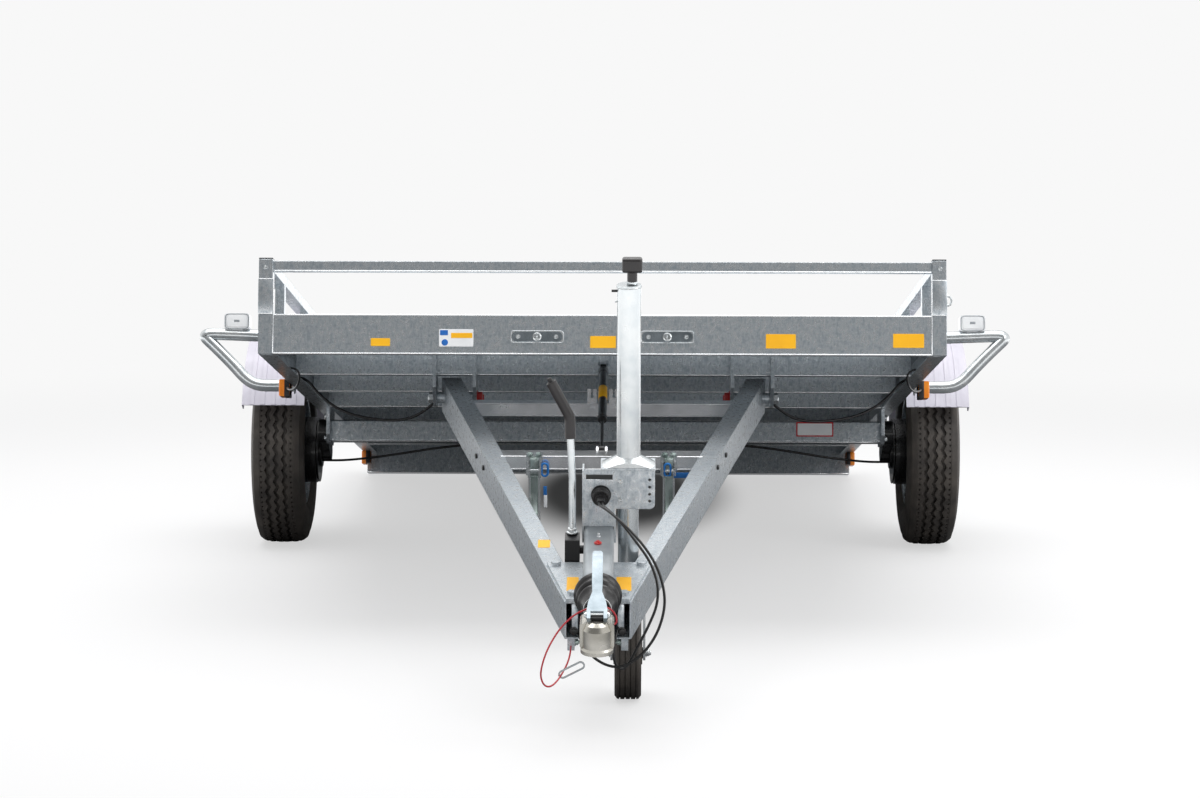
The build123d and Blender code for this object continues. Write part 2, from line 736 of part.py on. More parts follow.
def makeCouplingHandle():
    """Long lever above the neck, forked where it holds the head."""
    foot = -ballReach + 14
    low = ballHeight + 38 + seat
    outline = [(foot - 18, low), (foot - 20, low + 10), (-handleEnd - 26, handleEndHeight - 4),
               (-handleEnd, handleEndHeight), (-handleEnd + 3, handleEndHeight - 10),
               (-handleEnd - 20, handleEndHeight - handleThickness - 4), (foot + 4, low)]
    wide = 2 * handleHalfWidth
    plan = [(wide - 1, foot - 20), (wide - 1, foot + 8), (22, foot + 30), (handleHalfWidth - 1, foot + 62),
            (handleHalfWidth, foot + 90), (handleHalfWidth, -handleEnd - 10),
            (handleHalfWidth - 5, -handleEnd + 3)]
    plan += [(-x, y) for x, y in plan[::-1]]
    lever = sideProfile(outline, -wide, wide) & planProfile(plan, low, handleEndHeight + 5)
    lever -= block(-16, 16, foot - 25, foot + 2, 0, handleEndHeight)
    return lever


def makeHandbrakeBase():
    """Rounded cover behind the nose plate, on a boss at the housing's side."""
    profile = ((44, coverBottom), (-52, coverBottom), (-56, 62), (-36, coverTop - 10), (-4, coverTop),
               (30, coverTop - 10), (48, 66))
    outline = [(-brakeStation + y, z) for y, z in profile]
    cover = sideProfile(outline, brakeSide - 19, brakeSide + 19)
    cover = fillet(cover.edges().filter_by(Axis.X), 6)
    inner = -housingHalfWidth - seat
    return cover + rod((inner + brakeSide) / 2, -brakeStation - 12, 76, 11, inner - brakeSide, "X")


def makeHandbrakeLever():
    points = [(brakeSide, -brakeStation, coverTop + seat), (brakeSide, -brakeStation + 10, 260),
              (brakeSide - 5, leverEnd, leverTop)]
    return bentRod(points, 120, leverRadius)


def makeHandbrakeGrip():
    points = [(brakeSide - 5, leverEnd, leverTop + seat), (brakeSide - 6, leverEnd + 4, leverTop + 56),
              (brakeSide - 55, leverEnd + 13, leverTop + 147)]
    return bentRod(points, 40, gripRadius)


def makeTowerBracket():
    """Column astride the housing, with a side wing and a top plate for the jockey tube."""
    t = 5.0
    front = -towerFront
    z0 = housingTopRear + seat
    column = block(-towerHalfWidth, towerHalfWidth, front, front + t, z0, towerTop)
    column = fillet(column.edges().filter_by(Axis.Y).sort_by(lambda e: e.center().X - e.center().Z)[0], 10)
    bracket = column
    for side in (-1, 1):
        inner = side * (towerHalfWidth - t)
        outer = side * towerHalfWidth
        bracket += block(min(inner, outer), max(inner, outer), front, front + towerDepth,
                         towerFoot, towerTop - 8)
    wing = block(towerHalfWidth - 1, wingEdge, front, front + t, wingBottom, towerTop)
    wing = fillet(wing.edges().filter_by(Axis.Y).sort_by(lambda e: e.center().Z - e.center().X)[0], 14)
    bracket += wing
    top = block(4, wingEdge + 1, front - 8, front + 86, towerTop, towerTop + 6)
    top -= rod(jockeyOffset, -jockeyReach, towerTop, jockeyLegRadius + 1.5, 60, "Z")
    bracket += top
    bracket += block(wingEdge - t, wingEdge, front, front + towerDepth, wingBottom + 20, towerTop)
    for drop in (27, 47, 66, 85):
        bracket -= rod(wingEdge - 14, front, towerTop - drop, 4, 30, "Y")
    return bracket - block(-34, 35, front - 10, front + 20, towerTop - 27, towerTop - 13)


def makePlugHolder():
    """Ring on the tower's face with a round flange."""
    front = -towerFront - seat
    hole = rod(plugX, front - 20, plugHeight, plugBore, 80, "Y")
    ring = rod(plugX, front - 16, plugHeight, plugRingRadius, 32, "Y")
    flange = rod(plugX, front - 2, plugHeight, plugRingRadius + 4, 4, "Y")
    return ring + flange - hole


def makeJockeyTube():
    """Outer tube on a clamp collar with a straight-edged foot."""
    tube = Pos(jockeyOffset, -jockeyReach, (jockeyTubeBottom + jockeyTubeTop) / 2) * Cylinder(
        jockeyTubeRadius, jockeyTubeTop - jockeyTubeBottom)
    foot = towerTop + 6 + seat
    collar = Pos(jockeyOffset, -jockeyReach, foot + collarHeight / 2) * Cone(
        72, jockeyTubeRadius, collarHeight)
    collar &= block(jockeyOffset - 69, jockeyOffset + 69, -towerFront - 6, -towerFront + 84,
                    foot, foot + collarHeight)
    tube += collar
    bore = Pos(jockeyOffset, -jockeyReach, (jockeyTubeTop - 6) / 2) * Cylinder(
        jockeyLegRadius + 0.5, jockeyTubeTop - 6)
    return tube - bore


def makeJockeyKnob():
    """Crank stem off the tube's middle line and a flat-sided grip."""
    z0 = jockeyTubeTop + seat
    x = jockeyOffset + knobOffset
    stem = Pos(x, -jockeyReach, z0 + 16) * Cylinder(13, 32)
    grip = block(x - 26, x + 26, -jockeyReach - 17, -jockeyReach + 17, z0 + 32, z0 + 70)
    grip = fillet(grip.edges().filter_by(Axis.Y), 7)
    return stem + fillet(grip.edges().filter_by(Axis.Z), 8)


# ---------------------------------------------------------------- jockey leg and wheel
sinDrop = math.sin(math.radians(drawbarDrop))
cosDrop = math.cos(math.radians(drawbarDrop))
pivotWorld = bedFrame * Pos(0, pivotStation, -pivotBelowBed)
pivotZ = pivotWorld.position.Z
jockeyAxleReach = jockeyReach - jockeyTrail
jockeyAxleHeight = (jockeyWheelRadius - pivotZ + jockeyAxleReach * sinDrop) / cosDrop
jockeyCrown = jockeyAxleHeight + jockeyWheelRadius + 12


def makeJockeyLeg():
    """Inner tube with the ring that stops it at the swivel."""
    length = jockeyLegTop - jockeyCrown
    middle = Pos(jockeyOffset, -jockeyReach, jockeyCrown + seat + length / 2)
    stop = Pos(jockeyOffset, -jockeyReach, jockeyCrown + seat + 6) * Cylinder(jockeyStopRadius, 12)
    leg = middle * Cylinder(jockeyLegRadius, length) + stop
    return leg - middle * Cylinder(jockeyLegRadius - jockeyLegWall, length + 30)


def makeJockeyFork():
    """Swivel plate under the leg, two cheeks and the wheel's axle."""
    crown = jockeyCrown
    half = jockeyWheelWidth / 2 + 5
    y0 = -jockeyReach
    bridge = block(jockeyOffset - half - 6, jockeyOffset + half + 6, y0 - 34, y0 + 30, crown - 6, crown)
    axleY = -jockeyAxleReach
    cheek = [(y0 + 26, crown - 6), (y0 - 34, crown - 6), (axleY - 20, jockeyAxleHeight - 8),
             (axleY - 8, jockeyAxleHeight - 18), (axleY + 8, jockeyAxleHeight - 18),
             (axleY + 20, jockeyAxleHeight - 8)]
    fork = sideProfile(cheek, jockeyOffset + half, jockeyOffset + half + 6)
    fork += sideProfile(cheek, jockeyOffset - half - 6, jockeyOffset - half)
    axle = rod(jockeyOffset, axleY, jockeyAxleHeight, jockeyAxleRadius, 2 * half + 34, "X")
    spigot = Pos(jockeyOffset, y0, crown + 20) * Cylinder(jockeyLegRadius - jockeyLegWall - 0.1, 40)
    return bridge + fork + axle + spigot


def makeJockeyWheel():
    half = jockeyWheelWidth / 2
    radius = jockeyWheelRadius
    bore = jockeyAxleRadius + pivotRunning
    tread = [(-half, radius - 10), (-half + 7, radius - 1)]
    for middle in (-21, -7, 7, 21):
        near, far = middle - 1.5, middle + 1.5
        tread += [(near, radius), (near, radius - 4), (far, radius - 4), (far, radius)]
    tread += [(half - 7, radius - 1), (half, radius - 10)]
    outline = tread + [(half, 78), (half - 10, 74), (half - 10, 34), (half + 3, 30), (half + 3, bore),
                       (-half - 3, bore), (-half - 3, 30), (-half + 10, 34), (-half + 10, 74), (-half, 78)]
    face = make_face(Polyline([Vector(x, 0, r) for x, r in outline], close=True))
    wheel = revolve(face, Axis.X, 360)
    return Pos(jockeyOffset, -jockeyAxleReach, jockeyAxleHeight) * wheel


# ---------------------------------------------------------------- damper
sinFold = math.sin(math.radians(tipAngle + drawbarDrop))
cosFold = math.cos(math.radians(tipAngle + drawbarDrop))
footStation = pivotStation - damperFootReach * cosFold - damperFootHeight * sinFold
footLevel = damperFootHeight * cosFold - damperFootReach * sinFold - pivotBelowBed
damperLength = math.hypot(footStation - damperEyeStation, footLevel - damperEyeHeight)
damperAngle = math.degrees(math.atan2(damperEyeHeight - footLevel, damperEyeStation - footStation))
damperFrame = bedFrame * Pos(0, damperEyeStation, damperEyeHeight) * Rot(X=damperAngle)


def makeDamperTube():
    """Along -y from the upper eye."""
    length = damperLength * damperTubeShare
    tube = rod(0, -(length + 18) / 2, 0, damperTubeRadius, length - 18, "Y")
    tube += rod(0, 0, 0, 11, 18, "X")
    tube += block(-6, 6, -20, -4, -7, 7)
    tube -= rod(0, 0, 0, damperPin + pivotRunning, 60, "X")
    bore = rod(0, -length / 2 - 25, 0, damperRodRadius + 0.4, length - 40, "Y")
    bore += rod(0, -length, 0, damperRodRadius + 0.4, 60, "Y")
    return tube - bore


def makeDamperRod():
    start = damperLength * damperTubeShare - 210
    end = damperLength - footEyeBore - 3
    shaft = rod(0, -(start + end) / 2, 0, damperRodRadius, end - start, "Y")
    eye = rod(0, -damperLength, 0, footEyeBore + 5, 18, "X")
    return shaft + eye - rod(0, -damperLength, 0, footEyeBore, 60, "X")


# ---------------------------------------------------------------- cords
def cordTube(name, points, diameter):
    """Round cord on straight runs joined by the largest tangent arcs that the runs allow."""
    corners = [Vector(*point) for point in points]
    radii = []
    for before, corner, after in zip(corners, corners[1:], corners[2:]):
        turn = math.radians((corner - before).get_angle(after - corner))
        shorter = min((corner - before).length, (after - corner).length)
        radii.append(0.45 * shorter / math.tan(turn / 2))
    path = FilletPolyline(*points, radius=radii)
    tube = sweep(Plane(origin=path @ 0, z_dir=path % 0) * Circle(diameter / 2), path=path)
    ratio = tube.volume / (math.pi * diameter ** 2 / 4 * path.length)
    print(f"{name}: length {path.length:.0f}, least radius {min(radii):.0f}, volume ratio {ratio:.4f}")
    return tube


leadDiameter = 7.0
leadPlugFront = -towerFront - 72     # face of the plug that both leads leave
leadSpread = 4.2
breakawayDiameter = 4.5
harnessDiameter = 9.0
brakeCableDiameter = 8.0


def fromNose(points):
    """Points whose y is counted from the ends of the arms."""
    return [(x, y - armReach, z) for x, y, z in points]


leadOneRoute = [(plugX + leadSpread, leadPlugFront - seat, plugHeight),
                (plugX + leadSpread, leadPlugFront - 14, plugHeight)] + fromNose([
    (19, 254, 216), (39, 228, 206), (67, 195, 185), (99, 155, 154), (128, 122, 123), (145, 92, 91),
    (152, 68, 59), (148, 48, 24), (134, 28, -6), (117, 10, -37), (100, -6, -65), (87, -18, -89),
    (74, -27, -109), (58, -34, -116), (44, -38, -102), (39, -39, -76), (40, -32, -50),
    (46, -16, -29), (51, 6, -17), (55, 32, -11)])
leadTwoRoute = [(plugX - leadSpread, leadPlugFront - seat, plugHeight),
                (plugX - leadSpread, leadPlugFront - 16, plugHeight)] + fromNose([
    (10, 248, 221), (29, 218, 217), (55, 183, 206), (85, 148, 187), (120, 110, 157),
    (147, 78, 122), (163, 50, 83), (169, 28, 44), (162, 4, 6), (145, -18, -33), (118, -38, -66),
    (86, -52, -90), (54, -56, -102), (22, -50, -99), (-10, -40, -83), (-34, -26, -58),
    (-48, -4, -36), (-56, 24, -24)])
breakawayRoute = fromNose([
    (neckHalfWidth + seat, -150, 44), (46, -150, 46), (48, -150, 62), (42, -152, 77),
    (30, -158, 91), (13, -164, 98), (-8, -170, 99), (-36, -176, 92), (-57, -180, 81),
    (-79, -184, 62), (-101, -188, 35), (-126, -192, -11), (-141, -192, -66), (-134, -186, -98),
    (-119, -176, -110), (-102, -156, -105), (-86, -125, -90), (-74, -80, -80), (-68, -30, -71),
    (-68, 6 - seat, -69)])
harnessRoute = [
    (-halfWidth + sheet + 0.5, 915, 22), (-966, 915, 20), (-938, 914, 4), (-911, 910, -31),
    (-862, 900, -73), (-801, 880, -103), (-738, 850, -118), (-672, 815, -127), (-612, 780, -125),
    (-565, 750, -106), (-532, 722, -82)]
cableFoot = -beamBelowBed - beamSize / 2 - cableTab / 2
cableEnd = drumInner - 8 - backplateBoss + 1 - 3 * seat
brakeCableRoute = [(-cableAnchor - seat, beamY - 12, cableFoot)] + [
    (x - halfTrack, beamY + y, beamZ + z) for x, y, z in (
        (630, -10, -48), (572, -2, -54), (507, 6, -62), (432, 20, -73), (352, 38, -84),
        (277, 63, -91), (224, 88, -94), (178, 108, -94))] + [(-cableEnd, beamY + 114, beamZ - 93)]


def makeLeadPlug():
    """Plug parked in its ring, with one gland for both leads."""
    front = -towerFront - seat
    body = rod(plugX, front - 20, plugHeight, plugBore - seat, 40, "Y")
    gland = block(plugX - 10, plugX + 10, leadPlugFront, front - 40, plugHeight - 6.5, plugHeight + 6.5)
    return body + fillet(gland.edges().filter_by(Axis.Y), 5)


hookPlace = (-64, -armReach - 130, -81)


def makeCarabiner():
    """Wire snap hook hung on the breakaway cable's lower bend."""
    link = SlotCenterToCenter(50, 22) - SlotCenterToCenter(50, 14)
    ring = extrude(link, 2, both=True)
    return Pos(*hookPlace) * Rot(Y=-28) * Rot(X=90) * ring


# ---------------------------------------------------------------- placing and export
bedPieces = {
    "front_board": makeFrontBoard(), "corner_posts": makeCornerPosts(), "post_caps": makePostCaps(),
    "front_rail": makeFrontRail(), "side_rails": makeSideRails(), "side_posts": makeSidePosts(),
    "side_members": makeSideMembers(), "cross_members": makeCrossMembers(), "deck": makeDeck(),
    "rear_beam": makeRearBeam(), "tail_lamps": makeTailLamps(), "lashing_plates": makeLashingPlates(),
    "pivot_brackets": makePivotBrackets(), "pivot_bolts": makePivotBolts(), "axle_beam": makeAxleBeam(),
    "axle_plates": makeAxlePlates(), "axle_arms": makeAxleArms(), "mudguard_stays": makeMudguardStays(),
    "side_guards": makeSideGuards(), "position_lamps": makePositionLamps(),
    "side_markers": makeSideMarkers(),
}
for name, maker in (("mudguard", makeMudguard), ("tyre", makeTyre), ("rim", makeRim), ("drum", makeDrum)):
    left, right = bothSides(maker())
    bedPieces[name + "_left"] = left
    bedPieces[name + "_right"] = right

drawbarPieces = {
    "crossbar": makeCrossbar(), "latch_beam": makeLatchBeam(), "toggle_latches": makeToggleLatches(),
    "nose_plate": makeNosePlate(), "overrun_housing": makeHousing(), "shaft_bellows": makeBellows(),
    "coupling_head": makeCouplingHead(), "coupling_handle": makeCouplingHandle(),
    "handbrake_base": makeHandbrakeBase(), "handbrake_lever": makeHandbrakeLever(),
    "handbrake_grip": makeHandbrakeGrip(), "tower_bracket": makeTowerBracket(),
    "plug_holder": makePlugHolder(), "jockey_tube": makeJockeyTube(), "jockey_knob": makeJockeyKnob(),
    "jockey_leg": makeJockeyLeg(), "jockey_fork": makeJockeyFork(), "jockey_wheel": makeJockeyWheel(),
}
for name, route, diameter in (("harness", harnessRoute, harnessDiameter),
                              ("brake_cable", brakeCableRoute, brakeCableDiameter)):
    right, left = bothSides(cordTube(name, route, diameter))
    bedPieces[name + "_left"] = left
    bedPieces[name + "_right"] = right

drawbarPieces["lead_plug"] = makeLeadPlug()
drawbarPieces["lead_one"] = cordTube("lead_one", leadOneRoute, leadDiameter)
drawbarPieces["lead_two"] = cordTube("lead_two", leadTwoRoute, leadDiameter)
drawbarPieces["breakaway_cable"] = cordTube("breakaway_cable", breakawayRoute, breakawayDiameter)
drawbarPieces["carabiner"] = makeCarabiner()
armLeft, armRight = bothSides(makeArm())
drawbarPieces["drawbar_arm_left"] = armLeft
drawbarPieces["drawbar_arm_right"] = armRight

damperPieces = {"damper_tube": makeDamperTube(), "damper_rod": makeDamperRod()}

placed = {}
for frame, pieces in ((bedFrame, bedPieces), (drawbarFrame, drawbarPieces), (damperFrame, damperPieces)):
    for name, made in pieces.items():
        solids = made if isinstance(made, list) else [made]
        placed[name] = Compound([frame * solid for solid in solids])

low = min(shape.bounding_box().min.Y for shape in placed.values())
high = max(shape.bounding_box().max.Y for shape in placed.values())
originY = (low + high) / 2
for name, shape in placed.items():
    export_step(Pos(0, -originY, 0) * shape, f"parts/{name}.step")
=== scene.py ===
import json
import math

import bpy
from mathutils import Matrix, Vector


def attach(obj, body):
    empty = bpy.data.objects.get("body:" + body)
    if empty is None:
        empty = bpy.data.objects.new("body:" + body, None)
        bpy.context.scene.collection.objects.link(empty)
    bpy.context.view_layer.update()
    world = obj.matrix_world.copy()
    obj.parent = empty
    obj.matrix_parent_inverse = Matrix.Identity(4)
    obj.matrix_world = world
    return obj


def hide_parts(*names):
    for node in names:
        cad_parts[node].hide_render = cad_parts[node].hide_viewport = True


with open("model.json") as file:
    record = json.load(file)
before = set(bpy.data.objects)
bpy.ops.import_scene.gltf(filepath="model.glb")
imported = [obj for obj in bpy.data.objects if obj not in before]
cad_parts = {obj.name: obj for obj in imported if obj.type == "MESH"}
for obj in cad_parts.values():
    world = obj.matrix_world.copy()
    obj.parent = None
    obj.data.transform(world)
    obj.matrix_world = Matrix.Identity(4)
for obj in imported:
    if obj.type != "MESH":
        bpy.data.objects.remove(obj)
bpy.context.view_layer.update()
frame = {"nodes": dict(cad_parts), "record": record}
record = frame["record"]
jointOf = {joint["name"]: joint for joint in record["behaviour"]["joints"]}
mountOf = {mount["name"]: mount for mount in record["mounts"]}
print("frame loaded")

# Two work frames: bed level with y back from the board's face and z up from the underside of its side
# members, and drawbar level with its origin on the tilt pivot and the nose at -y.
trailer = {"axleStation": 2.042, "axleBelowBed": 0.129}
axle = jointOf["wheel_spin_left"]["pos_m"]
pivot = jointOf["drawbar_tilt"]["pos_m"]
deckNormal = mountOf["deck_top"]["axis"]
socketAxis = mountOf["ball_socket"]["axis"]
bedPitch = math.atan2(deckNormal[1], deckNormal[2])
drawbarPitch = math.atan2(socketAxis[1], -socketAxis[2])
bedPlace = (Matrix.Translation((0, axle[1], axle[2])) @ Matrix.Rotation(-bedPitch, 4, "X")
            @ Matrix.Translation((0, -trailer["axleStation"], trailer["axleBelowBed"])))
drawbarPlace = Matrix.Translation((0, pivot[1], pivot[2])) @ Matrix.Rotation(drawbarPitch, 4, "X")
mm = 0.001
front, back, up = (0, -1, 0), (0, 1, 0), (0, 0, 1)
wheelSides = (("left", 1), ("right", -1))


def mirrored(point, sign):
    x, y, z = point
    return sign * x, y, z


def linear(hexColour):
    channels = [int(hexColour[i:i + 2], 16) / 255 for i in (1, 3, 5)]
    return [c / 12.92 if c <= 0.04045 else ((c + 0.055) / 1.055) ** 2.4 for c in channels] + [1]


def addNode(tree, kind, inputs=(), **settings):
    node = tree.nodes.new(kind)
    for key, value in settings.items():
        setattr(node, key, value)
    for socket, value in dict(inputs).items():
        if isinstance(value, bpy.types.NodeSocket):
            tree.links.new(value, node.inputs[socket])
        else:
            node.inputs[socket].default_value = value
    return node


def addMath(tree, operation, *values):
    return addNode(tree, "ShaderNodeMath", dict(enumerate(values)), operation=operation).outputs[0]


def addVectorMath(tree, operation, *values):
    return addNode(tree, "ShaderNodeVectorMath", dict(enumerate(values)), operation=operation).outputs


def addNoise(tree, where, scale, detail, roughness=0.5):
    return addNode(tree, "ShaderNodeTexNoise", {"Vector": where, "Scale": scale, "Detail": detail,
                                                "Roughness": roughness}).outputs["Fac"]


def addRange(tree, value, span, low=0.0, high=1.0, kind="LINEAR"):
    node = addNode(tree, "ShaderNodeMapRange", {"Value": value, "From Min": span[0], "From Max": span[1],
                                                "To Min": low, "To Max": high}, interpolation_type=kind)
    return node.outputs[0]


def addMix(tree, share, low, high):
    return addNode(tree, "ShaderNodeMix", {"Factor": share, "A": low, "B": high}).outputs[0]


def mixShaders(tree, share, first, second):
    return addNode(tree, "ShaderNodeMixShader", {0: share, 1: first, 2: second}).outputs[0]


# Colour stops are (place on the ramp, colour), from the lowest up.
def addRamp(tree, value, stops):
    ramp = addNode(tree, "ShaderNodeValToRGB", {"Fac": value})
    points = ramp.color_ramp.elements
    points[0].position, points[1].position = stops[0][0], stops[-1][0]
    for place, colour in stops[1:-1]:
        points.new(place)
    for point, (place, colour) in zip(points, stops):
        point.color = linear(colour)
    return ramp.outputs["Color"]


def newMaterial(name):
    material = bpy.data.materials.new(name)
    material.use_nodes = True
    tree = material.node_tree
    tree.nodes.clear()
    where = addNode(tree, "ShaderNodeTexCoord").outputs["Object"]
    return material, tree, where


def closeMaterial(tree, shader):
    addNode(tree, "ShaderNodeOutputMaterial", {"Surface": shader})


def closeSurface(tree, colour, roughness, metallic, bump, coat=0.0):
    shader = addNode(tree, "ShaderNodeBsdfPrincipled", {
        "Base Color": colour, "Roughness": roughness, "Metallic": metallic, "Coat Weight": coat,
        "Normal": bump.outputs[0]})
    closeMaterial(tree, shader.outputs[0])


# Hot-dip zinc: fine crystals, dull clouds, pale runs where the metal drained, and softened edges.
galvanised = {"tones": ((0.62, "#a2abb2"), (0.77, "#bfc6cb"), (0.96, "#dde1e4")), "spangle": 6 * mm,
              "cloud": 16 * mm, "run": (5 * mm, 5 * mm, 120 * mm), "grain": 1.6 * mm, "runShare": 0.5,
              "spangleShare": 0.07, "grainShare": 0.3, "roughness": (0.24, 0.38), "edge": 3 * mm}


def galvanisedSteel(name, metallic):
    material, tree, where = newMaterial(name)
    drained = addNode(tree, "ShaderNodeMapping", {"Vector": where,
                                                  "Scale": [1 / run for run in galvanised["run"]]})
    runs = addNoise(tree, drained.outputs[0], 1.0, 4.0, 0.6)
    clouds = addNoise(tree, where, 1 / galvanised["cloud"], 7.0, 0.68)
    crystals = addNode(tree, "ShaderNodeTexVoronoi", {"Vector": where, "Scale": 1 / galvanised["spangle"]})
    spangle = addNode(tree, "ShaderNodeSeparateColor", {"Color": crystals.outputs["Color"]})
    grain = addNoise(tree, where, 1 / galvanised["grain"], 2.0)
    tone = addMath(tree, "MULTIPLY_ADD", runs, galvanised["runShare"], clouds)
    tone = addMath(tree, "MULTIPLY_ADD", spangle.outputs["Red"], galvanised["spangleShare"], tone)
    colour = addRamp(tree, tone, galvanised["tones"])
    low, high = galvanised["roughness"]
    rough = addRange(tree, tone, (0.6, 0.95), high, low)
    height = addMath(tree, "MULTIPLY_ADD", grain, galvanised["grainShare"], clouds)
    edge = addNode(tree, "ShaderNodeBevel", {"Radius": galvanised["edge"]}, samples=4)
    bump = addNode(tree, "ShaderNodeBump", {"Height": height, "Strength": 0.10, "Distance": 0.35 * mm,
                                            "Normal": edge.outputs[0]})
    closeSurface(tree, colour, rough, metallic, bump)
    return material


# Electroplated zinc: brighter and smoother, with a faint grain.
zincPlate = {"cloud": 60 * mm, "grain": 1.2 * mm, "roughness": (0.16, 0.28), "metallic": 0.85}


def platedZinc(name, dark, pale):
    material, tree, where = newMaterial(name)
    cloud = addNoise(tree, where, 1 / zincPlate["cloud"], 5.0)
    grain = addNoise(tree, where, 1 / zincPlate["grain"], 2.0)
    colour = addRamp(tree, cloud, ((0.35, dark), (0.68, pale)))
    rough = addRange(tree, cloud, (0.3, 0.7), *zincPlate["roughness"])
    bump = addNode(tree, "ShaderNodeBump", {"Height": grain, "Strength": 0.06, "Distance": 0.2 * mm})
    closeSurface(tree, colour, rough, zincPlate["metallic"], bump)
    return material


# Moulded and cast surfaces share one recipe: a slightly uneven tone over a fine pebble from the mould.
def mouldedSurface(name, dark, pale, roughness, grain, bumpStrength, metallic=0.0, coat=0.0):
    material, tree, where = newMaterial(name)
    cloud = addNoise(tree, where, 14.0, 4.0)
    pebble = addNoise(tree, where, 1 / (grain * mm), 3.0)
    colour = addRamp(tree, cloud, ((0.3, dark), (0.72, pale)))
    rough = addRange(tree, pebble, (0.3, 0.7), roughness - 0.06, roughness + 0.08)
    bump = addNode(tree, "ShaderNodeBump", {"Height": pebble, "Strength": bumpStrength,
                                            "Distance": 0.3 * mm})
    closeSurface(tree, colour, rough, metallic, bump, coat)
    return material


finishes = {
    "galvanised_steel": galvanisedSteel("hotDipZinc", 0.92),
    "zinc_plated_steel": platedZinc("brightZincPlate", "#c3c9cc", "#d9dcdd"),
    "tyre_rubber": mouldedSurface("tyreRubber", "#3a3633", "#58524c", 0.58, 1.5, 0.25),
    "mudguard_plastic": mouldedSurface("mudguardPolyethylene", "#bdbac5", "#cbc8d3", 0.42, 1.2, 0.1),
    "black_plastic": mouldedSurface("blackPolyamide", "#0f0f10", "#1b1b1d", 0.36, 0.8, 0.12),
    "black_paint": mouldedSurface("blackEnamel", "#0b0b0c", "#151617", 0.26, 2, 0.06, coat=0.3),
    "black_rubber": mouldedSurface("bellowsRubber", "#0e0d0e", "#1a191a", 0.30, 1.0, 0.10),
    "grip_plastic": mouldedSurface("gripPolyamide", "#1d1a1b", "#2a2728", 0.34, 0.9, 0.12),
    "amber_lens": mouldedSurface("amberLens", "#ee7d12", "#fb9a2c", 0.16, 4, 0.05, coat=0.4),
    "clear_lens": mouldedSurface("clearLens", "#e8eaec", "#f7f8f9", 0.12, 4, 0.05, coat=0.4),
    "red_lens": mouldedSurface("redLens", "#9c0d0d", "#c01814", 0.16, 4, 0.05, coat=0.4),
    "lead_sheath": mouldedSurface("leadSheath", "#0d0d0e", "#171718", 0.34, 1.0, 0.06),
    "red_cable": mouldedSurface("redCoatedRope", "#b3202c", "#cf3440", 0.32, 1.2, 0.12, coat=0.2),
    "cable_sheath": mouldedSurface("bowdenSheath", "#0e0e0f", "#19191a", 0.34, 1.0, 0.06),
    "cast_housing": mouldedSurface("castHousing", "#8b9196", "#a9aeb1", 0.5, 1.6, 0.3, metallic=0.5),
}
# Extra finishes that have no slot of their own.
extras = {
    "yellowFilm": mouldedSurface("yellowFilm", "#f7b400", "#ffbf05", 0.5, 3, 0.03),
    "whiteFilm": mouldedSurface("whiteFilm", "#e6e8ea", "#f6f7f8", 0.32, 3, 0.03, coat=0.25),
    "blueFilm": mouldedSurface("blueFilm", "#155fb0", "#1d6fc4", 0.34, 3, 0.03, coat=0.25),
    "redFilm": mouldedSurface("redFilm", "#b3262c", "#c9343a", 0.36, 3, 0.03, coat=0.25),
    "redEnamel": mouldedSurface("redEnamel", "#b81f1c", "#d4332d", 0.36, 2, 0.06, coat=0.3),
    "blueWebbing": mouldedSurface("blueWebbing", "#1c64ad", "#2b80cf", 0.72, 1.1, 0.35),
    "freshZinc": galvanisedSteel("freshHotDipZinc", 0.45),
    "passivatedZinc": platedZinc("yellowPassivatedZinc", "#aeaba2", "#cfccc4"),
    "greenZinc": platedZinc("greenPassivatedZinc", "#7e8f8a", "#c9d6d2"),
    # Paler plated zinc that paints highlights: on the bend lines, and as a painted reflection of the bright
    # floor on the crossbar and latch beam.
    "paintedHighlightZinc": platedZinc("zincWithPaintedHighlight", "#e6e8ea", "#f6f7f8"),
    "darkZinc": platedZinc("shadedZincPlate", "#737d83", "#9aa3a9"),
}
looks = {**finishes, **extras}
zinc, black, blackPaint = "zinc_plated_steel", "black_plastic", "black_paint"

# Nodes of the frame that look different from the rest of their slot. The crossbar and latch beam take the
# paler zinc as a painted reflection of the bright floor.
nodeLooks = {"coupling_head": "passivatedZinc", "coupling_handle": "darkZinc", "damper_rod": blackPaint,
             "drawbar_arm_left": "freshZinc", "drawbar_arm_right": "freshZinc", "nose_plate": "freshZinc",
             "tower_bracket": "freshZinc", "crossbar": "paintedHighlightZinc", "latch_beam": "paintedHighlightZinc"}
for entry in record["subparts"]:
    slots = frame["nodes"][entry["node"]].data.materials
    slots.clear()
    slots.append(looks[nodeLooks.get(entry["node"], entry["material_slot"])])
print("finishes made")

# Leads and cables: each route runs in its body's work frame, and a lead starts at the plug on the tower.
plug = {"x": 5, "z": 219, "front": -1752, "spread": 4.2, "nose": -2040}
lead = {"body": "drawbar", "slot": "lead_sheath", "diameter": 7 * mm, "stiffness": "limp", "lay": "hanging"}


def fromNose(*points):
    return [(x, y + plug["nose"], z) for x, y, z in points]


def fromPlug(way, straight):
    x = plug["x"] + way * plug["spread"]
    return [(x, plug["front"], plug["z"]), (x, plug["front"] - straight, plug["z"])]


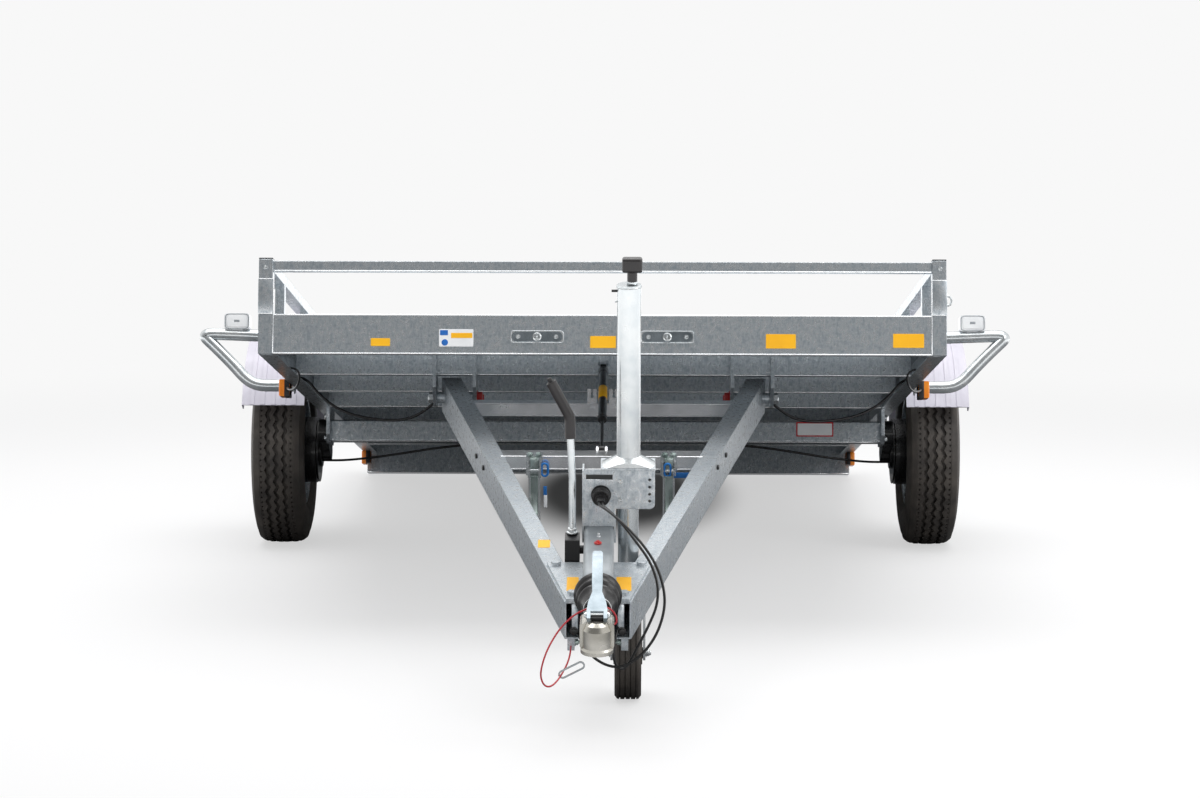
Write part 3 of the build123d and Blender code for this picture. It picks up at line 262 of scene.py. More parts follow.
cords = [
    {**lead, "name": "leadOne", "node": "lead_one", "length": 0.70, "route": fromPlug(1, 14) + fromNose(
        (19, 254, 216), (39, 228, 206), (67, 195, 185), (99, 155, 154), (128, 122, 123), (145, 92, 91),
        (152, 68, 59), (148, 48, 24), (134, 28, -6), (117, 10, -37), (100, -6, -65), (87, -18, -89),
        (74, -27, -109), (58, -34, -116), (44, -38, -102), (39, -39, -76), (40, -32, -50), (46, -16, -29),
        (51, 6, -17), (55, 32, -11))},
    {**lead, "name": "leadTwo", "node": "lead_two", "length": 0.77, "route": fromPlug(-1, 16) + fromNose(
        (10, 248, 221), (29, 218, 217), (55, 183, 206), (85, 148, 187), (120, 110, 157), (147, 78, 122),
        (163, 50, 83), (169, 28, 44), (162, 4, 6), (145, -18, -33), (118, -38, -66), (86, -52, -90),
        (54, -56, -102), (22, -50, -99), (-10, -40, -83), (-34, -26, -58), (-48, -4, -36), (-56, 24, -24))},
    {"name": "breakawayCable", "node": "breakaway_cable", "body": "drawbar", "slot": "red_cable",
     "diameter": 4.5 * mm, "length": 0.58, "stiffness": "medium", "lay": "hanging", "route": fromNose(
         (33.3, -150, 44), (46, -150, 46), (48, -150, 62), (42, -152, 77), (30, -158, 91), (13, -164, 98),
         (-8, -170, 99), (-36, -176, 92), (-57, -180, 81), (-79, -184, 62), (-101, -188, 35),
         (-126, -192, -11), (-141, -192, -66), (-134, -186, -98), (-119, -176, -110), (-102, -156, -105),
         (-86, -125, -90), (-74, -80, -80), (-68, -30, -71), (-68, 5.7, -69))},
]
pairedCords = [
    {"name": "harness", "node": "harness_", "body": "bed", "slot": "lead_sheath", "diameter": 9 * mm,
     "length": 0.565, "stiffness": "limp", "lay": "hanging", "route": (
         (996.5, 915, 22), (966, 915, 20), (938, 914, 4), (911, 910, -31), (862, 900, -73), (801, 880, -103),
         (738, 850, -118), (672, 815, -127), (612, 780, -125), (565, 750, -106), (532, 722, -82))},
    {"name": "brakeCable", "node": "brake_cable_", "body": "bed", "slot": "cable_sheath", "diameter": 8 * mm,
     "length": 0.563, "stiffness": "medium", "lay": "hanging", "route": (
         (452.3, 1880, -122), (498, 1882, -124), (556, 1890, -130), (621, 1898, -138), (696, 1912, -149),
         (776, 1930, -160), (851, 1955, -167), (904, 1980, -170), (950, 2000, -170), (994.1, 2006, -169))},
]
for side, sign in wheelSides:
    cords += [{**cord, "name": cord["name"] + side.capitalize(), "node": cord["node"] + side,
               "route": [mirrored(point, sign) for point in cord["route"]]} for cord in pairedCords]


def drawCurve(name, points, radius, resolution, cyclic=False):
    curve = bpy.data.curves.new(name, "CURVE")
    curve.dimensions = "3D"
    spline = curve.splines.new("NURBS")
    spline.points.add(len(points) - 1)
    for knot, point in zip(spline.points, points):
        knot.co = (*point, 1)
    spline.order_u = 3
    spline.use_cyclic_u = cyclic
    spline.use_endpoint_u = not cyclic
    spline.resolution_u = 8
    curve.bevel_depth = radius
    curve.bevel_resolution = resolution
    curve.use_fill_caps = not cyclic
    piece = bpy.data.objects.new(name, curve)
    bpy.context.collection.objects.link(piece)
    return piece


def makeCord(cord):
    place = bedPlace if cord["body"] == "bed" else drawbarPlace
    points = [place @ (Vector(point) * mm) for point in cord["route"]]
    piece = drawCurve(cord["name"], points, cord["diameter"] / 2, 4)
    piece.data.materials.append(finishes[cord["slot"]])
    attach(piece, cord["body"])
    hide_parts(cord["node"])


for cord in cords:
    makeCord(cord)
print("cords laid")


# Modelling helpers: places are in mm in a work frame, and a finished piece is set in its place at the end.
def selectOnly(pieces):
    bpy.ops.object.select_all(action="DESELECT")
    for piece in pieces:
        piece.select_set(True)
    bpy.context.view_layer.objects.active = pieces[0]


def setMode(mode):
    bpy.ops.object.mode_set(mode=mode)


def applyPlace():
    bpy.ops.object.transform_apply(location=True, rotation=True, scale=True)
    return bpy.context.object


def facing(way):
    return Vector(way).to_track_quat("Z", "Y")


def joinAll(pieces):
    selectOnly(pieces)
    if len(pieces) > 1:
        bpy.ops.object.join()
    return bpy.context.object


def startPick(piece, kind):
    selectOnly([piece])
    setMode("EDIT")
    bpy.ops.mesh.select_mode(type=kind)
    bpy.ops.mesh.select_all(action="DESELECT")
    setMode("OBJECT")


def editFaces(piece, test):
    startPick(piece, "FACE")
    for face in piece.data.polygons:
        face.select = test(face.center, face.normal)
    setMode("EDIT")


def editEdges(piece, test):
    startPick(piece, "EDGE")
    for edge in piece.data.edges:
        near, far = (piece.data.vertices[index].co for index in edge.vertices)
        edge.select = test(near, far)
    setMode("EDIT")


# The face that looks one way keeps a border and its middle moves, with walls of its own where it is sunk.
def insetFace(piece, way, border, move, sunk=True):
    editFaces(piece, lambda centre, normal: normal.dot(Vector(way)) > 0.9)
    bpy.ops.mesh.inset(thickness=border * mm)
    shift = [part * mm for part in move]
    if sunk:
        bpy.ops.mesh.extrude_region_move(TRANSFORM_OT_translate={"value": shift})
    else:
        bpy.ops.transform.translate(value=shift)
    setMode("OBJECT")


def roundOff(piece, width, segments=2):
    selectOnly([piece])
    bevel = piece.modifiers.new("edges", "BEVEL")
    bevel.width = width * mm
    bevel.segments = segments
    bevel.limit_method = "ANGLE"
    bevel.angle_limit = math.radians(35)
    bpy.ops.object.modifier_apply(modifier=bevel.name)
    bpy.ops.object.shade_smooth_by_angle(angle=math.radians(40))


# A block between two opposite corners, in either order.
def addBlock(low, high, rounding=1.0):
    bpy.ops.object.select_all(action="DESELECT")
    centre = [(a + b) / 2 * mm for a, b in zip(low, high)]
    size = [abs(b - a) * mm for a, b in zip(low, high)]
    bpy.ops.mesh.primitive_cube_add(size=1, location=centre, scale=size)
    block = applyPlace()
    if rounding:
        roundOff(block, rounding)
    return block


def addRod(base, tip, radius, rounding=1.0, sides=28):
    bpy.ops.object.select_all(action="DESELECT")
    base, tip = Vector(base) * mm, Vector(tip) * mm
    along = tip - base
    bpy.ops.mesh.primitive_cylinder_add(vertices=sides, radius=radius * mm, depth=along.length,
                                        location=(base + tip) / 2, rotation=facing(along).to_euler())
    rod = applyPlace()
    if rounding:
        roundOff(rod, rounding)
    return rod


def addRing(centre, axis, radius, wire, sides=40):
    bpy.ops.object.select_all(action="DESELECT")
    bpy.ops.mesh.primitive_torus_add(major_radius=radius * mm, minor_radius=wire * mm, major_segments=sides,
                                     minor_segments=12, location=Vector(centre) * mm,
                                     rotation=facing(axis).to_euler())
    ring = applyPlace()
    bpy.ops.object.shade_smooth()
    return ring


# A film or plate that is thin along y or z, with rounded corners and a raised middle at the front or on top.
def addPlate(low, high, corner, thin=1):
    plate = addBlock(low, high, rounding=0)
    editEdges(plate, lambda near, far: abs(near[thin] - far[thin]) > 0.1 * mm)
    bpy.ops.mesh.bevel(offset=corner * mm, segments=4, affect="EDGES")
    setMode("OBJECT")
    outer = [face.center[thin] for face in plate.data.polygons]
    wanted = min(outer) if thin == 1 else max(outer)
    editFaces(plate, lambda centre, normal: abs(centre[thin] - wanted) < 0.01 * mm)
    bpy.ops.mesh.inset(thickness=1.6 * mm, depth=0.25 * mm)
    setMode("OBJECT")
    return plate


def addPath(points, radius, cyclic=False):
    path = drawCurve("path", [Vector(point) * mm for point in points], radius * mm, 3, cyclic)
    selectOnly([path])
    bpy.ops.object.convert(target="MESH")
    bpy.ops.object.shade_smooth_by_angle(angle=math.radians(40))
    return bpy.context.object


# A closed wire loop in a plane across y, its outline given as (x, z) from its middle.
def addLoop(middle, outline, wire):
    x, y, z = middle
    return addPath([(x + a, y, z + b) for a, b in outline], wire, cyclic=True)


# A closed outline drawn point by point and turned once round an axis through the origin.
def addTurned(outline, axis, steps):
    bpy.ops.object.select_all(action="DESELECT")
    bpy.ops.mesh.primitive_plane_add(size=1 * mm, location=(0, 0, 0))
    turned = bpy.context.object
    setMode("EDIT")
    bpy.ops.mesh.select_mode(type="VERT")
    bpy.ops.mesh.select_all(action="SELECT")
    bpy.ops.mesh.merge(type="CENTER")
    corners = [Vector(point) * mm for point in outline]
    bpy.ops.transform.translate(value=corners[0])
    for here, there in zip(corners, corners[1:] + corners[:1]):
        bpy.ops.mesh.extrude_region_move(TRANSFORM_OT_translate={"value": there - here})
    bpy.ops.mesh.select_all(action="SELECT")
    bpy.ops.mesh.remove_doubles(threshold=0.01 * mm)
    bpy.ops.mesh.select_all(action="SELECT")
    bpy.ops.mesh.spin(steps=steps, angle=2 * math.pi, center=(0, 0, 0), axis=axis)
    bpy.ops.mesh.select_all(action="SELECT")
    bpy.ops.mesh.remove_doubles(threshold=0.02 * mm)
    bpy.ops.mesh.normals_make_consistent(inside=False)
    setMode("OBJECT")
    return turned


def addHexHead(across, height, washer=0.0):
    head = addRod((0, 0, 0), (0, 0, height), across / 2, rounding=0, sides=6)
    insetFace(head, up, across * 0.07, (0, 0, across * 0.05), sunk=False)
    roundOff(head, 0.3, 1)
    if washer:
        head = joinAll([head, addRod((0, 0, -0.2), (0, 0, 2.2), washer / 2, 0.5, 24)])
    return head


def addSocketHead(across, height):
    head = addRod((0, 0, 0), (0, 0, height), across / 2, rounding=0, sides=18)
    insetFace(head, up, across * 0.26, (0, 0, -height * 0.6))
    roundOff(head, height * 0.22)
    return head


def addNut(across, height, bolt):
    nut = addHexHead(across, height, across * 1.25)
    return joinAll([nut, addRod((0, 0, 1), (0, 0, height + 6), bolt / 2, 0.8, 16)])


# Joins the parts of a piece in one look and sets it down on its body.
def setPiece(parts, name, place, body, look):
    for part in parts:
        part.data.materials.clear()
        part.data.materials.append(looks[look])
    piece = joinAll(parts)
    piece.name = name
    piece.data.name = name
    piece.matrix_world = place
    applyPlace()
    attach(piece, body)
    return piece


def onBed(parts, name, look):
    return setPiece(parts, name, bedPlace, "bed", look)


def onDrawbar(parts, name, look, body="drawbar"):
    return setPiece(parts, name, drawbarPlace, body, look)


# One fastener modelled once and copied to each of its places, given as (point, way it looks).
def copies(template, spots):
    made = []
    for point, way in spots:
        copy = template.copy()
        copy.data = template.data.copy()
        bpy.context.collection.objects.link(copy)
        copy.matrix_world = Matrix.Translation(Vector(point) * mm) @ facing(way).to_matrix().to_4x4()
        made.append(copy)
    bpy.data.objects.remove(template)
    selectOnly(made)
    applyPlace()
    return made


# Tyres: the road tread has zig-zag grooves between ribs and short cuts across the shoulders. Outlines run as
# (in from the full half width, radius), the shoulder as (place across, drop below the tread).
tyre = {"centre": 1128.0, "radius": 325.0, "half": 91.5, "bead": 177.3, "beadTop": 190.0, "beadSide": 70.5,
        "wall": ((5, 213.0), (1.5, 232.0), (2.2, 234.0), (0, 251.0), (1.8, 270.0), (2.4, 272.5),
                 (6.5, 290.0), (11, 301.0), (13, 309.0), (24, 317.5), (34, 321.5)),
        "inside": ((26, 297.0), (14, 251.0), (22, 213.0)), "shoulder": ((-58, 4.6), (-54, 4), (-48, 3.2)),
        "steps": 312, "crownDrop": 0.0013, "treadDepth": 14, "ribHalf": 42, "grooves": (-29, 0, 29),
        "grooveHalf": 6.2, "grooveDepth": 13.0, "zigzag": 5.0, "zigzagEvery": 3, "cutEvery": 3,
        "cutAcross": (48, 54), "cutDepth": 6.0}


def tyreProfile():
    half, tread = tyre["half"], tyre["radius"]
    side = [(tyre["beadSide"], tyre["bead"]), (tyre["beadSide"], tyre["beadTop"])]
    side += [(half - cut, radius) for cut, radius in tyre["wall"]]
    crown = [(x, tread - drop) for x, drop in tyre["shoulder"]]
    for middle in tyre["grooves"]:
        top = tread - tyre["crownDrop"] * middle * middle
        foot = top - tyre["grooveDepth"]
        near, far = middle - tyre["grooveHalf"], middle + tyre["grooveHalf"]
        crown += [(near - 6, top), (near, top), (near + 0.8, foot),
                  (far - 0.8, foot), (far, top), (far + 6, top)]
    crown += [(-x, radius) for x, radius in crown[2::-1]]
    inner = [(half - cut, radius) for cut, radius in tyre["inside"]]
    inner.append((tyre["beadSide"] - 15, tyre["bead"]))
    return ([(-x, radius) for x, radius in side] + crown + side[::-1] + inner
            + [(-x, radius) for x, radius in inner[::-1]])


def wheelPlace(sign):
    middle = (sign * tyre["centre"], 1000 * trailer["axleStation"], -1000 * trailer["axleBelowBed"])
    return bedPlace @ Matrix.Translation(Vector(middle) * mm)


def makeTyre(side, sign):
    tread = addTurned([(x, 0, radius) for x, radius in tyreProfile()], (1, 0, 0), tyre["steps"])
    pitch = 2 * math.pi / tyre["steps"]
    foot = tyre["radius"] - tyre["treadDepth"]
    for vertex in tread.data.vertices:
        x, radius = vertex.co.x / mm, math.hypot(vertex.co.y, vertex.co.z) / mm
        if radius > foot and abs(x) < tyre["ribHalf"]:
            step = round(math.atan2(vertex.co.z, vertex.co.y) / pitch)
            phase = (step % (2 * tyre["zigzagEvery"])) / tyre["zigzagEvery"]
            vertex.co.x += tyre["zigzag"] * (2 * abs(phase - 1) - 1) * mm

    def inShoulderCut(centre, normal):
        step = math.floor(math.atan2(centre.z, centre.y) / pitch)
        near, far = tyre["cutAcross"]
        outward = math.hypot(centre.y, centre.z) / mm
        return step % tyre["cutEvery"] == 0 and near < abs(centre.x) / mm < far and outward > foot

    editFaces(tread, inShoulderCut)
    bpy.ops.mesh.inset(thickness=0.4 * mm, depth=-tyre["cutDepth"] * mm)
    setMode("OBJECT")
    bpy.ops.object.shade_smooth_by_angle(angle=math.radians(32))
    name = "treadedTyre" + side.capitalize()
    piece = setPiece([tread], name, wheelPlace(sign), "wheel_" + side, "tyre_rubber")
    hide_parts("tyre_" + side)


for side, sign in wheelSides:
    makeTyre(side, sign)
print("tyres cut")

# Bellows with round folds over the overrun shaft, and a clip round each end: (along, radius, wire).
bellows = {"start": -2045.3, "height": 74.0, "inner": 24.0, "clips": ((3, 56.6, 1.6), (119, 34.6, 1.3)),
           "folds": ((0, 54), (2, 57), (7, 60.5), (13, 60.5), (19, 55), (25, 49.5), (29, 50), (35, 54.5),
                     (41, 56), (46, 53), (52, 45.5), (57, 45.5), (64, 50), (70, 51), (75, 48), (80, 43.5),
                     (90, 40.5), (106, 36.5), (120, 34), (124, 32))}


def makeBellows():
    folds = bellows["folds"]
    outline = [(folds[0][0], bellows["inner"]), *folds, (folds[-1][0], bellows["inner"])]
    sleeve = addTurned([(0, -along, radius) for along, radius in outline], back, 64)
    bpy.ops.object.shade_smooth_by_angle(angle=math.radians(50))
    where = drawbarPlace @ Matrix.Translation(Vector((0, bellows["start"], bellows["height"])) * mm)
    piece = setPiece([sleeve], "foldedBellows", where, "drawbar", "black_rubber")
    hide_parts("shaft_bellows")
    clips = [addRing((0, -along, 0), back, radius, wire) for along, radius, wire in bellows["clips"]]
    setPiece(clips, "bellowsClips", where, "drawbar", zinc)


makeBellows()

# Board: films and a sign as (x, x, z, z), two lashing eyes with their rims and plates, and the screws.
board = {"films": ((-672, -616, 23, 46), (-35, 40, 19, 54), (475, 562, 19, 61), (844, 934, 22, 63)),
         "sign": (-474, -374, 22, 73), "signBlue": (-471, -448, 55, 70), "signDisc": (-457, 34, 9.5),
         "signYellow": (-439, -377, 47, 62), "lashing": (-189, 189), "lashingLevel": 51, "lashingScrew": 55,
         "lashingRim": ((-58, 17), (0, 17), (58, 17), (76, 17), (76, 0), (76, -17), (58, -17), (0, -17),
                        (-58, -17), (-76, -17), (-76, 0), (-76, 17)),
         "post": (981, 253), "postFaces": ((-0.2, front), (4060.2, back))}


def onBoard(edges, depth, corner):
    x0, x1, z0, z1 = edges
    return addPlate((x0, -depth, z0), (x1, 0, z1), corner)


def makeBoardFittings():
    films = [onBoard(film, 0.7, 2.5) for film in board["films"]] + [onBoard(board["signYellow"], 1.4, 1.5)]
    onBed(films, "boardFilms", "yellowFilm")
    onBed([onBoard(board["sign"], 0.8, 2.5)], "boardSign", "whiteFilm")
    x, z, radius = board["signDisc"]
    disc = addRod((x, 0, z), (x, -1.4, z), radius, 0.3)
    onBed([onBoard(board["signBlue"], 1.4, 1.5), disc], "boardSignPatches", "blueFilm")
    spots, eyes, plates = [], [], []
    z = board["lashingLevel"]
    for x in board["lashing"]:
        spots += [((x + way * board["lashingScrew"], -4.9, z), front) for way in (-1, 1)]
        eye = addRod((x, -4, z), (x, -10, z), 13.2, 2.4, 36)
        insetFace(eye, front, 3, (0, 2.5, 0))
        eyes += [eye, addLoop((x, -4.4, z), board["lashingRim"], 1.5)]
        plates.append(addPlate((x - 74, -4.9, z - 15), (x + 74, -4.2, z + 15), 14))
    x, z = board["post"]
    spots += [((sign * x, y, z), way) for y, way in board["postFaces"] for sign in (-1, 1)]
    onBed(copies(addSocketHead(13, 3.5), spots), "boardScrews", zinc)
    onBed(plates, "lashingInsets", "darkZinc")
    onBed(eyes, "lashingEyes", zinc)


makeBoardFittings()

# Sleeves that close the board's ends against the corner posts, and a loop outside the left-hand post.
sleeves = {"inner": 957.6, "outer": 1001.2, "bottom": 116.0, "top": 219.0, "wall": 1.2, "depth": 12,
           "loop": ((1000, 176), (1010, 176), (1016, 168), (1016, 156), (1010, 148), (1000, 148)),
           "loopStation": 20, "loopFoot": ((1000, 8, 142), (1003, 32, 182))}


def makePostSleeves():
    wraps = [addBlock((sign * sleeves["inner"], -sleeves["wall"], sleeves["bottom"]),
                      (sign * sleeves["outer"], sleeves["depth"], sleeves["top"]), 0.9) for sign in (-1, 1)]
    onBed(wraps, "postSleeves", "galvanised_steel")
    loop = addPath([(x, sleeves["loopStation"], z) for x, z in sleeves["loop"]], 3.2)
    onBed([loop, addBlock(*sleeves["loopFoot"])], "postLoops", zinc)


makePostSleeves()

# Lamps: black bases behind the side markers and tail lamps, frames and lenses of the position lamps, and the
# amber and clear parts of the tail lamps.
lamps = {"markers": ((955, 1000.3, 1017, -41, 13), (3880, 968, 985, -49.3, -0.3)), "markerHalf": 35.4,
         "position": (1149, 1231, 190, 242), "positionFace": 1078,
         "rim": ((-28, 24), (0, 24), (28, 24), (37, 20), (37, 0), (37, -20), (28, -24), (0, -24), (-28, -24),
                 (-37, -20), (-37, 0), (-37, 20)),
         "tailFace": 4068, "tailBase": (707, 953, -53, 93), "amber": (874, 940, -40, 80),
         "clear": (720, 774, -40, 80)}


def tailBlock(sign, edges, near, far, rounding):
    x0, x1, z0, z1 = edges
    face = lamps["tailFace"]
    return addBlock((sign * x0, face + near, z0), (sign * x1, face + far, z1), rounding)


def makeLampTrim():
    bases, frames, glass, amber = [], [], [], []
    for station, x0, x1, z0, z1 in lamps["markers"]:
        near, far = station - lamps["markerHalf"], station + lamps["markerHalf"]
        bases += [addBlock((sign * x0, near, z0 - 1), (sign * (x1 + 1), far, z1 + 1), 2.2)
                  for sign in (-1, 1)]
    for sign in (-1, 1):
        x0, x1, z0, z1 = lamps["position"]
        x, z, face = sign * (x0 + x1) / 2, (z0 + z1) / 2, lamps["positionFace"]
        frames += [addLoop((x, face - 0.6, z), lamps["rim"], 1.3),
                   addBlock((x - 9, face - 2.5, z - 3), (x + 9, face - 0.4, z + 5), 0.8)]
        glass.append(addPlate((sign * (x0 + 9), face - 1.8, z0 + 8), (sign * (x1 - 9), face, z1 - 8), 6))
        bases.append(tailBlock(sign, lamps["tailBase"], -12, -5, 3))
        amber.append(tailBlock(sign, lamps["amber"], -6, 2.5, 2.5))
        glass.append(tailBlock(sign, lamps["clear"], -6, 2.5, 2.5))
    onBed(bases, "lampBases", black)
    onBed(frames, "positionLampRims", "cast_housing")
    onBed(glass, "clearLenses", "clear_lens")
    onBed(amber, "tailIndicators", "amber_lens")


makeLampTrim()

# Side guards: one bent pipe each, on a round flange against the side member.
guard = {"radius": 20.0, "station": 1100.0, "flange": 27.0, "flangeFaces": (1000.2, 1004), "foot": 9,
         "bends": ((1000.4, 9), (1060, 9), (1120, 9), (1158, 27), (1200, 74), (1250, 124), (1280, 152),
                   (1296, 168), (1284, 176), (1250, 176), (1190, 174), (1100, 170), (987.4, 168))}


def makeGuards():
    pipes = []
    for sign in (-1, 1):
        near, far = [(sign * x, guard["station"], guard["foot"]) for x in guard["flangeFaces"]]
        pipes.append(addPath([(sign * x, guard["station"], z) for x, z in guard["bends"]], guard["radius"]))
        pipes.append(addRod(near, far, guard["flange"]))
    piece = onBed(pipes, "bentGuards", zinc)
    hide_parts("side_guards")


makeGuards()

# Bend lines of the folded sheets and tubes, pale zinc rods that carry a painted highlight where the bends
# catch the light, as (y, z, half length).
crossMembers = [620 + 573 * index for index in range(6)]
edges = {"radius": 2.6, "bed": [(1.4, 113.6, 957), (1.4, 1.4, 957), (6.9, 243.4, 958), (1856.4, -111.6, 948),
                                (3991.4, -78.6, 988)] + [(y + 1.2, 1.2, 948) for y in crossMembers],
         "drawbar": ((-230.7, 46.6, 400), (-230.7, 9.4, 398), (-788.7, 49.6, 290), (-788.7, 12.4, 290)),
         "sleeveLevels": (117, 219), "seam": ((957, -0.6, 2), (957, -0.6, 217))}


def bendLine(y, z, half):
    return addRod((-half, y, z), (half, y, z), edges["radius"], 0.8, 12)


def makeBendLines():
    lines = [bendLine(*line) for line in edges["bed"]]
    for sign in (-1, 1):
        x0, x1 = sorted((sign * (sleeves["inner"] + 1), sign * (sleeves["outer"] - 1)))
        y = 0.2 - sleeves["wall"]
        lines += [addRod((x0, y, z), (x1, y, z), 1.5, 0.4, 12) for z in edges["sleeveLevels"]]
        lines.append(addRod(*(mirrored(end, sign) for end in edges["seam"]), 1.6, 0.4, 12))
    onBed(lines, "bendLines", "paintedHighlightZinc")
    onDrawbar([bendLine(*line) for line in edges["drawbar"]], "drawbarBendLines", "paintedHighlightZinc")


makeBendLines()

# Leads of the front side markers, which hang from the side members on their way back to the lamps.
markerLead = {"radius": 3.2,
              "points": ((956, 466, 4), (938, 472, 5), (924, 480, -14), (930, 496, -40), (948, 570, -50),
                         (976, 700, -42), (1000, 850, -24), (1010, 940, -12))}


def makeMarkerLeads():
    leads = [addPath([mirrored(point, sign) for point in markerLead["points"]], markerLead["radius"])
             for sign in (-1, 1)]
    onBed(leads, "markerLeads", black)


makeMarkerLeads()

# Fasteners of the bed: axle-plate bolts, deck screws along each cross member and the drawbar's pivot bolts.
# The blank sign is on the axle beam, its edges given as (x, x, z, z).
bedBolts = {"plateFace": 962.3, "plateY": (1820, 1964), "plateLevels": (-30, -104), "deckTop": 88.0,
            "deckX": [-900 + 200 * index for index in range(10)], "deckIn": 22,
            "pivot": (674, -66), "pivotNut": 391.6, "pivotHead": 539.2}
beamSign = {"face": 1855, "rim": (660, 789, -93, -42), "blank": (665, 784, -88, -47)}


def onBeam(edges, out, behind, corner):
    x0, x1, z0, z1 = edges
    return addPlate((x0, beamSign["face"] - out, z0), (x1, beamSign["face"] + behind, z1), corner)


def makeBedBolts():
    plate = [((sign * bedBolts["plateFace"], y, z), (sign, 0, 0))
             for sign in (-1, 1) for y in bedBolts["plateY"] for z in bedBolts["plateLevels"]]
    onBed(copies(addHexHead(19, 8, 26), plate), "axlePlateBolts", zinc)
    deck = [((x, y + bedBolts["deckIn"], bedBolts["deckTop"]), up)
            for y in crossMembers for x in bedBolts["deckX"]]
    onBed(copies(addSocketHead(14, 2.4), deck), "deckScrews", zinc)
    y, z = bedBolts["pivot"]
    nuts = [((sign * bedBolts["pivotNut"], y, z), (-sign, 0, 0)) for sign in (-1, 1)]
    onBed(copies(addNut(37, 15, 20), nuts), "pivotNuts", "redEnamel")
    heads = [((sign * bedBolts["pivotHead"], y, z), (sign, 0, 0)) for sign in (-1, 1)]
    onBed(copies(addHexHead(33, 3), heads), "pivotHeads", zinc)
    onBed([onBeam(beamSign["rim"], 0.8, 0.2, 3)], "beamSignRim", "redFilm")
    onBed([onBeam(beamSign["blank"], 1.6, -0.4, 2)], "beamSign", "whiteFilm")


makeBedBolts()

# Wheels: bolts on the stud circle and a stem valve through the rim.
wheel = {"studs": 5, "circle": 56, "face": 8, "valveRadius": 152, "valveFoot": 16, "valveX": 44}


def makeWheelFittings(side, sign):
    body, hub = "wheel_" + side, wheelPlace(sign)
    turns = [2 * math.pi * index / wheel["studs"] for index in range(wheel["studs"])]
    spots = [((sign * wheel["face"], -wheel["circle"] * math.sin(turn), wheel["circle"] * math.cos(turn)),
              (sign, 0, 0)) for turn in turns]
    setPiece(copies(addHexHead(21, 14, 25), spots), "wheelBolts" + side.capitalize(), hub, body, zinc)
    x, z = wheel["valveX"], wheel["valveRadius"]
    stem = [addRod((sign * wheel["valveFoot"], 0, z), (sign * x, 0, z + 4), 4.2),
            addRod((sign * (x - 2), 0, z + 4), (sign * (x + 9), 0, z + 5), 5.2)]
    setPiece(stem, "valve" + side.capitalize(), hub, body, black)


for side, sign in wheelSides:
    makeWheelFittings(side, sign)
print("bed fitted out")

# Drawbar: films on the nose plate and one arm as (x, x, near, far), bolt heads along the arms, and a post
# with its bolt and nut in each arm's end.
nose = {"films": ((-80, -50, 1874, 1980), (46, 84, 1872, 1978)), "filmLevel": 59.3,
        "armFilm": (-162, -130, 1549, 1613), "armTop": 51.0, "armWay": (0.98, -0.196),
        "armHeads": ((-364, 648, 8), (-338, 776, 12), (358, 676, 22), (331, 810, 26)),
        "post": ((49, -2037, -39), (67, -2020, 46.5)), "bolt": (60, -2036, -27), "nut": (58, -2021, -62)}


def topFilm(edges, level):
    x0, x1, near, far = edges
    return addPlate((x0, -far, level - 0.2), (x1, -near, level + 0.6), 3, thin=2)


def makeDrawbarFilms():
    films = [topFilm(film, nose["filmLevel"]) for film in nose["films"]]
    onDrawbar(films + [topFilm(nose["armFilm"], nose["armTop"])], "drawbarFilms", "yellowFilm")
    across, along = nose["armWay"]
    spots = [((x, -reach, z), (math.copysign(across, x), along, 0)) for x, reach, z in nose["armHeads"]]
    onDrawbar(copies(addSocketHead(15, 6), spots), "armHeads", blackPaint)
    posts = [addBlock(*(mirrored(corner, sign) for corner in nose["post"]), 5) for sign in (-1, 1)]
    bolts = [(mirrored(nose["bolt"], sign), front) for sign in (-1, 1)]
    nuts = [(mirrored(nose["nut"], sign), (-sign, 0, 0)) for sign in (-1, 1)]
    onDrawbar(posts, "armEndPosts", "galvanised_steel")
    onDrawbar(copies(addHexHead(17, 8, 22), bolts), "lugBolts", blackPaint)
    onDrawbar(copies(addNut(17, 8, 9), nuts), "lugNuts", "greenZinc")


makeDrawbarFilms()

# Toggle latches: a catch over its lever and a pull loop, with a strap that hangs beside the one and lies
# across the other.
latch = {"x": 193, "face": -790.3, "leverTop": -2, "leverFoot": -120, "bolts": (12, 57), "loopLevel": 15,
         "loop": ((-9, 0), (-9, 15), (0, 20), (9, 15), (9, 0), (9, -15), (0, -20), (-9, -15))}


def makeLatches():
    catches, levers, straps, tips = [], [], [], []
    y = latch["face"]
    for sign in (-1, 1):
        x = sign * latch["x"]
        catches += [addBlock((x - 13, y - 13, 10), (x + 13, y - 3, 52), 3),
                    addBlock((x - 19, y - 8, -12), (x + 19, y - 3, -2), 2)]
        aside, level = latch["bolts"]
        spots = [((x + way * aside, y - 3.8, level), front) for way in (-1, 1)]
        catches += copies(addHexHead(13, 6, 17), spots)
        lever = addBlock((x - 11, y - 21, latch["leverFoot"]), (x + 11, y - 9, latch["leverTop"]), 0)
        insetFace(lever, front, 3, (0, 8, 0))
        roundOff(lever, 0.8)
        levers.append(lever)
        loopX = x + 30 if sign < 0 else x - 4
        straps.append(addLoop((loopX, y - 14, latch["loopLevel"]), latch["loop"], 3.4))
        if sign < 0:
            straps.append(addBlock((x + 26, y - 17, -62), (x + 36, y - 13.5, -34), 1.2))
            tips.append(addBlock((x + 27, y - 18, -98), (x + 37, y - 12.5, -60), 1.6))
        else:
            straps.append(addBlock((x + 14, y - 17, -8), (x + 66, y - 13.5, 8), 1.2))
    onDrawbar(catches, "latchCatches", "greenZinc")
    onDrawbar(levers, "latchLevers", "greenZinc")
    onDrawbar(straps, "latchStraps", "blueWebbing")
    onDrawbar(tips, "strapTips", "whiteFilm")


makeLatches()

